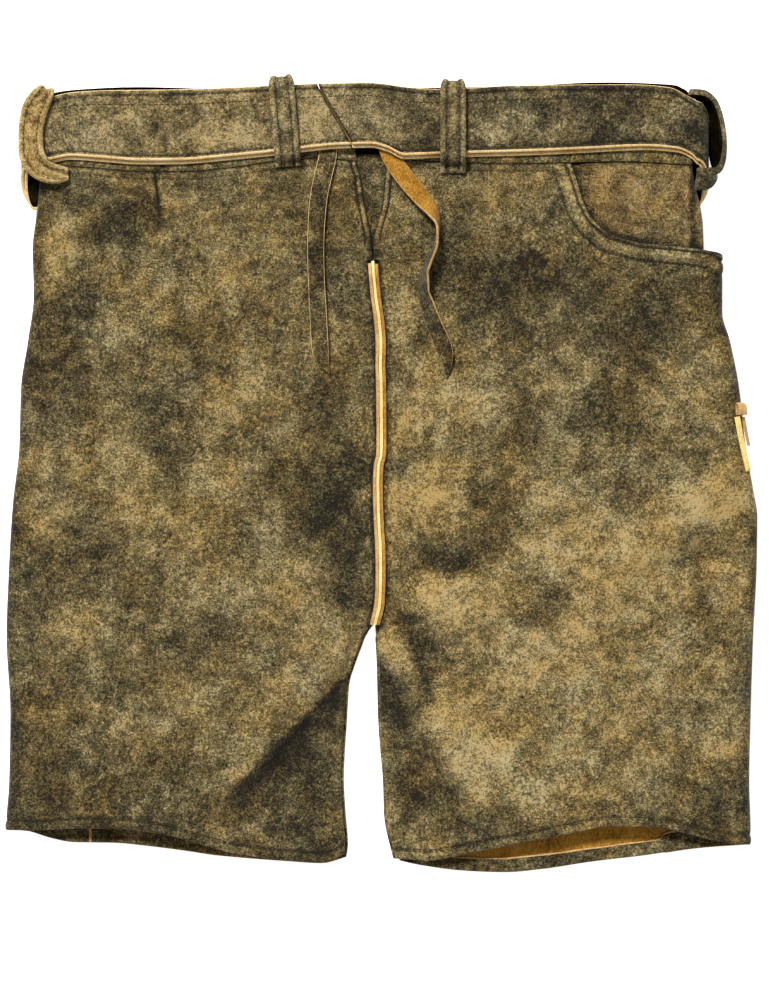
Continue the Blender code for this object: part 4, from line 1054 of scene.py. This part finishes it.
def belt_grid(mid, drop):
    """A ring: front run, turn, back run on the floor, turn, front run."""
    floor = LEATHER / 2 + (BELT_MID - mid)
    radius = (mid - floor) / 2
    v = (lines(BELT_WIDTH, step=3.0, extra=(3.3, 4.2, 38.8, 39.7)) / BELT_WIDTH)[:, None]
    join = read(BELT_JOIN, mix(216.5, 261.0, v))
    back_y = BELT_BACK_Y - drop + (v * 2 - 1) * BELT_WIDTH / 2

    def edges(x):
        return read(BELT_BOTTOM, x) - drop, read(BELT_TOP, x) - drop * 0.4

    def run(x_start, x_end, t):
        x = mix(x_start, x_end, t)
        low, high = edges(x)
        sag = 0.25 * noise(x, v * 40, 23, 41)
        return np.stack([x, mix(low, high, v), mid + belt_lift(x) + sag], 2)

    def turn(middle, side, around):
        angle = math.pi * (0.5 - around)
        low, high = edges(middle)
        y = mix(mix(low, high, v), back_y, ease(around))
        x = middle + side * radius * np.cos(angle) + 0 * v
        return np.stack([x, y, floor + radius + radius * np.sin(angle) + 0 * v], 2)

    first = lines(LEFT_RUN, end=False)[None, :] / LEFT_RUN
    bend = (np.arange(1, TURN_STEPS + 1) / TURN_STEPS)[None, :]
    rear = (np.arange(1, REAR_STEPS + 1) / REAR_STEPS)[None, :]
    x = mix(BELT_LEFT_TURN, BELT_RIGHT_TURN, rear) + 0 * v
    last = 1 - lines(RIGHT_RUN, end=False)[::-1][None, :] / RIGHT_RUN
    return np.concatenate([
        run(join - BELT_GAP / 2, BELT_LEFT_TURN, first), turn(BELT_LEFT_TURN, LEFT, bend),
        np.stack([x, back_y + 0 * x, floor + 0 * x], 2),
        turn(BELT_RIGHT_TURN, RIGHT, 1 - bend), run(BELT_RIGHT_TURN, join + BELT_GAP / 2, last[:, 1:])],
        1)


for name, mid, drop in (("belt_outer", BELT_MID, 0.0), ("belt_lining", LINING_MID, BELT_DROP)):
    grid = belt_grid(mid, drop)
    x, y = grid[..., 0], grid[..., 1]
    edge = np.minimum(spans(grid, 0), spans(grid, 0)[-1:] - spans(grid, 0))
    tone = read(BELT_TONES, x) + 0.5 * noise(x, y, 16, 43) + 0.35 * noise(x, y, 7, 44)
    ends = np.minimum(spans(grid, 1), spans(grid, 1)[:, -1:] - spans(grid, 1))
    # painted shade in the groove of each stitch row and at the two ends where the belt meets itself
    tone -= 1.5 * near(edge, 3.6, 0.8) + 3.0 * near(ends, 0.0, 1.0)
    relief = ridges(edge, BELT_RELIEF) * ease((grid[..., 2] - 2.0) / 2.0)
    outer_ply = name == "belt_outer"
    looks = [BELT, REVERSE, CUT] if outer_ply else [REVERSE, SHADE_SUEDE, CUT]
    piece, over = wall(name, grid, rounded(grid, LEATHER), looks, tone=tone, flip=True,
                       rings=(3, 1, 0, 0), relief=relief if outer_ply else 0.0)
    if outer_ply:
        belt_rows = [over[line_at(grid, 0, d, 40)] for d in (BELT_ROW, BELT_WIDTH - BELT_ROW)]

# ---- belt loops ----
ACROSS_LOOP = lines(LOOP_WIDTH, step=1.4) / LOOP_WIDTH * 2 - 1


def from_sides(grid):
    """Distance of each point from the nearer long edge of a strip."""
    across = spans(grid, 1)
    return np.minimum(across, across[:, -1:] - across)


def rows_on_loop(grid, over):
    """The lines of a loop's two stitch rows."""
    inset = line_at(grid, 1, LOOP_ROW, 20)
    return [over[2:-2, inset], over[2:-2, -1 - inset]]


loop_runs = []
for word, foot, head, y_foot in (("left", -62.3, -67.3, 206.0), ("right", 47.9, 47.9, 201.5)):
    x = (foot + head) / 2
    low, high = float(read(BELT_BOTTOM, x)) - BELT_DROP, float(read(BELT_TOP, x))
    crown = BELT_MID + LAYER + 0.3 + max(float(belt_lift(x - 16)), float(belt_lift(x + 16)))
    lying = FRONT_MID + LAYER + 0.2
    profile = [
        (y_foot, lying), (low - 5.2, lying), (low - 3.3, lying + 1.0),
        (low - 2.4, lying + 3.2), (low - 1.6, crown - 1.6), (low + 0.6, crown - 0.2),
        (low + 4.0, crown), (mix(low, high, 0.5), crown + 0.4), (high - 3.0, crown),
        (high + 0.4, crown - 0.3), (high + 3.4, crown - 1.8), (high + 4.9, crown - 4.4),
        (high + 5.2, crown - 8.0)]
    stations = [(mix(foot, head, (y - y_foot) / (high + 5.2 - y_foot)), y, z, 0,
                 LOOP_WIDTH / 2 - 1.4 * ease((y - high - 1.6) / 3.4)) for y, z in profile]
    grid = ribbon(stations, 1.8, ACROSS_LOOP)
    tone = 0.1 + 0.6 * noise(grid[..., 0], grid[..., 1], 9, 47)
    # painted highlight on the loop's rolled edges, painted shade in its stitch grooves
    tone += ridges(from_sides(grid), LOOP_LIGHT_AND_SHADE)
    piece, over = wall("loop_front_" + word, grid, rounded(grid, LEATHER), [BELT, SHADE_SUEDE, BELT],
                       tone=tone, relief=ridges(from_sides(grid), LOOP_RELIEF))
    loop_runs += rows_on_loop(grid, over)

# from the turn's middle to the loop
AROUND = BELT_MID / 2 - LEATHER / 4 + 0.5 + LAYER + 0.3
unrolled = ribbon([(a, y, 0.0, 0, half) for a, y, rise, half in LOOP_LEFT], 1.6, ACROSS_LOOP)
away = np.concatenate([[0], np.cumsum([math.dist(a[:2], b[:2])
                                       for a, b in zip(LOOP_LEFT[:-1], LOOP_LEFT[1:])])])
middle_run = spans(unrolled, 0)[:, len(ACROSS_LOOP) // 2]
rise = read([(d, row[2]) for d, row in zip(away, LOOP_LEFT)],
            middle_run / middle_run[-1] * away[-1])[:, None]
aside, radius, height = unrolled[..., 0], AROUND + rise, BELT_MID / 2 + 0.5
angle = -np.minimum(aside, 0) / AROUND
grid = np.stack([BELT_LEFT_TURN + np.maximum(aside, 0) - radius * np.sin(angle),
                 unrolled[..., 1], height + radius * np.cos(angle)], 2)
# tone: the loop's paler suede, with painted highlight on its rolled edges and painted shade in its
# stitch grooves
piece, over = wall("loop_side_left", grid, rounded(grid, LEATHER), [SIDE_LOOP, SHADE_SUEDE, SIDE_LOOP],
                   tone=0.9 + ridges(from_sides(grid), LOOP_LIGHT_AND_SHADE), flip=True,
                   relief=ridges(from_sides(grid), LOOP_RELIEF))
loop_runs += rows_on_loop(grid, over)

grid = ribbon(LOOP_RIGHT, 1.8, ACROSS_LOOP)
across = spans(grid, 1)
upper = (across / across[:, -1:]) ** 1.5
upward = grid[:, -1:, 2] > grid[:, :1, 2]
rolled = 2.3 * np.where(upward, upper, 1 - upper) * near(across[:, -1:] - across, 2.0, 2.2)
piece, _ = wall("loop_side_right", grid, LEATHER / 2 + rolled, [BELT, SHADE_SUEDE, BELT], tone=-0.3)


# ---- ties ----
def laid(rows, mid, room):
    """Stations of a tie that lies on the leather under it."""
    stations = []
    for x, y, tilt, half, lift in rows:
        turn = math.radians(tilt)
        stand = abs(math.sin(turn)) * half + abs(math.cos(turn)) * LEATHER / 2
        z = float(mid(np.array(x), np.array(min(y, 206.0)))) + LEATHER / 2 + room
        stations.append((x, y, z + lift * 0.5 + stand, tilt, half))
    return stations


ACROSS_TIE = lines(11.6, step=1.6) / 11.6 * 2 - 1
for name, rows, mid, look in (("thong_left", THONG_LEFT, left_mid, (REVERSE, OUTSIDE, CUT)),
                              ("thong_right", THONG_RIGHT, right_mid, (REVERSE, OUTSIDE, TAN))):
    stations = laid(rows, mid, 0.3)
    grid = ribbon(stations, 1.8, ACROSS_TIE)
    tone = -0.7 + 0.6 * noise(grid[..., 0], grid[..., 1], 9, 51)
    piece, _ = wall(name, grid, rounded(grid, LEATHER), list(look), tone=tone, rings=ALL_CUT)


def at_fold(y, angle, out):
    """A point near the right outer fold, by its angle and distance from its middle."""
    top, low = float(fold_top(y)), float(back_mid(y))
    radius = (top - low) / 2
    middle = float(right_outer(y)) - radius - LEATHER / 2
    turn = math.radians(angle)
    reach = radius + LEATHER / 2 + 0.4 + THIN / 2 + out
    return middle + reach * math.cos(turn), y, low + radius + reach * math.sin(turn)


ACROSS_SMALL = lines(3.8, step=0.8) / 3.8 * 2 - 1
pale = [(*at_fold(y, angle, 0.2), angle - 90, 1.9)
        for y, angle in ((38.4, 78), (30, 72), (22, 66), (13, 60), (5, 55), (2, 52))]
brown = [(*at_fold(y, angle, out), angle - 90, 1.7)
         for y, angle, out in ((38.4, 32, 0.3), (32, 28, 0.6), (25, 24, 1.0), (18.8, 20, 1.4))]
knot = [(*at_fold(y, 56, out), -34, 3.4)
        for y, out in ((39.4, 0.2), (43.0, 0.2), (46.0, 0.5), (47.4, 1.9), (46.0, 3.3),
                       (43.0, 3.6), (39.6, 3.4))]
side_tie = {}
for name, stations, level, look in (("side_thong_pale", pale, None, CREAM),
                                    ("side_thong_brown", brown, None, TAN),
                                    ("side_thong_knot", knot, (1, 0, 0), TAN)):
    grid = ribbon(stations, 1.0, ACROSS_SMALL, level)
    side_tie[name], _ = wall(name, grid, rounded(grid, THIN), [look, look, look], tone=-0.6,
                             rings=ALL_CUT)

# ---- hem facings ----
FACING_MID = LEATHER + SEAM + THIN / 2
PIECED_AT = -195.4     # a cut edge crosses the left facing here
for word, hem, depth, ends in (("left", BACK_HEM_LEFT, DEPTH_LEFT, (-240.0, -31.0)),
                               ("right", BACK_HEM_RIGHT, DEPTH_RIGHT, (12.0, 238.0))):
    width = ends[1] - ends[0]
    x = (ends[0] + lines(width, step=3.0, extra=(43.8, 45.6)))[None, :]
    share = (lines(9.6, step=2.0) / 9.6)[:, None]
    wander = 0.5 * noise(x, 0 * x, 17, 55)
    y = read(hem, x) + 0.5 + (read(depth, x) + wander) * share
    grid = np.stack([x + 0 * y, y, FACING_MID + 0 * y], 2)
    piece, _ = wall("hem_facing_" + word, grid, rounded(grid, THIN), [OUTSIDE, REVERSE, TAN],
                    tone=-0.3, rings=(0, 2, 2, 2), cut=abs(x[:, :-1] - PIECED_AT) < 1.0)


# ---- stitches ----
def on_front(mid, x, y):
    """A line of (x, y) laid on a front's outer face."""
    x, y = np.asarray(x, float), np.asarray(y, float)
    return np.stack([x, y, mid(x, y) + LEATHER / 2 - SUNK], 1)


def offset_line(line, distance):
    """A line moved sideways, to its left where distance is positive."""
    line = np.array(line, float)
    run = np.gradient(line, axis=0)
    run /= np.linalg.norm(run, axis=1, keepdims=True)
    return line + np.stack([-run[:, 1], run[:, 0]], 1) * distance


def dense(line, count=160):
    line = np.array(line, float)
    away = np.concatenate([[0], np.cumsum(np.linalg.norm(np.diff(line, axis=0), axis=1))])
    where = np.linspace(0, away[-1], count)
    return np.stack([read(list(zip(away, column)), where) for column in line.T], 1)


def across_front(over, mid, distance, below_waist=False):
    """A front's outer face along a line this far above its hem or below its waist."""
    if below_waist:
        distance = spans(mid, 0)[-1, 30] - distance
    return over[line_at(mid, 0, distance, 30), 1:-1] - np.array([0, 0, SUNK])


fly_y = np.linspace(156, 207, 60)
fly_left = on_front(left_mid, read(FLY_LEFT, fly_y) - FLY_ROW, fly_y)
fly_right = on_front(right_mid, read(FLY_RIGHT, fly_y) + FLY_ROW, fly_y)
lip_lines = [offset_line(dense(POCKET_EDGE[:9]), -distance) for distance in LIP_ROWS]
pocket_rows = [on_front(right_mid, line[:, 0], line[:, 1]) for line in lip_lines]
left_waist = across_front(over_left, mid_left, WAIST_ROW, below_waist=True)
right_waist = across_front(over_right, mid_right, WAIST_ROW, below_waist=True)
right_waist = right_waist[right_waist[:, 0] < HIP_START]
left_hem = [across_front(over_left, mid_left, distance) for distance in TURN_ROWS]
right_hem = [across_front(over_right, mid_right, distance) for distance in TURN_ROWS]
left_threads = stitches("stitches_left", [*left_hem, left_waist, fly_left], DARK_THREAD)
right_threads = stitches("stitches_right", [*right_hem, right_waist, fly_right, *pocket_rows],
                         DARK_THREAD)
belt_threads = stitches("stitches_belt", belt_rows, DARK_THREAD)
loop_threads = stitches("stitches_loops", loop_runs, DARK_THREAD)

# ---- floor, light and camera ----
floor_mesh = bpy.data.meshes.new("floor")
FLOOR_REACH = 4.0      # metres from the middle
FLOOR_Z = -0.0005      # just clear of the leather that lies on it
CORNERS = ((-1, -1), (1, -1), (1, 1), (-1, 1))
floor_mesh.from_pydata([(x * FLOOR_REACH, y * FLOOR_REACH, FLOOR_Z) for x, y in CORNERS], [],
                       [(0, 1, 2, 3)])
floor_look = bpy.data.materials.new("floor")
floor_look.use_nodes = True
finish = floor_look.node_tree.nodes["Principled BSDF"].inputs
finish["Base Color"].default_value = (1, 1, 1, 1)
finish["Roughness"].default_value = 1.0
finish["Specular IOR Level"].default_value = 0.0
finish["Emission Color"].default_value = (1, 1, 1, 1)
finish["Emission Strength"].default_value = 0.75
floor_mesh.materials.append(floor_look)
ground = bpy.data.objects.new("floor", floor_mesh)
bpy.context.scene.collection.objects.link(ground)


def lamp(name, place, angle, strength):
    """A soft distant light that shines from place towards the middle."""
    data = bpy.data.lights.new(name, "SUN")
    data.energy = strength
    data.angle = math.radians(angle)
    light = bpy.data.objects.new(name, data)
    light.location = place
    light.rotation_euler = (-Vector(place)).to_track_quat("-Z", "Y").to_euler()
    bpy.context.scene.collection.objects.link(light)


lamp("key", (-0.7, 1.5, 1.75), 14, 4.4)
lamp("fill", (0.6, -1.0, 2.0), 60, 0.45)
world = bpy.data.worlds.new("world")
world.use_nodes = True
world.node_tree.nodes["Background"].inputs["Color"].default_value = (1.0, 0.99, 0.97, 1)
world.node_tree.nodes["Background"].inputs["Strength"].default_value = 0.22
bpy.context.scene.world = world
bpy.context.scene.view_settings.view_transform = "Standard"

camera_data = bpy.data.cameras.new("camera")
camera_data.lens = 250.0
camera_data.sensor_width = 36.0
camera = bpy.data.objects.new("camera", camera_data)
camera.location = (0.002, -0.0174, 4.662)
bpy.context.scene.collection.objects.link(camera)
bpy.context.scene.camera = camera
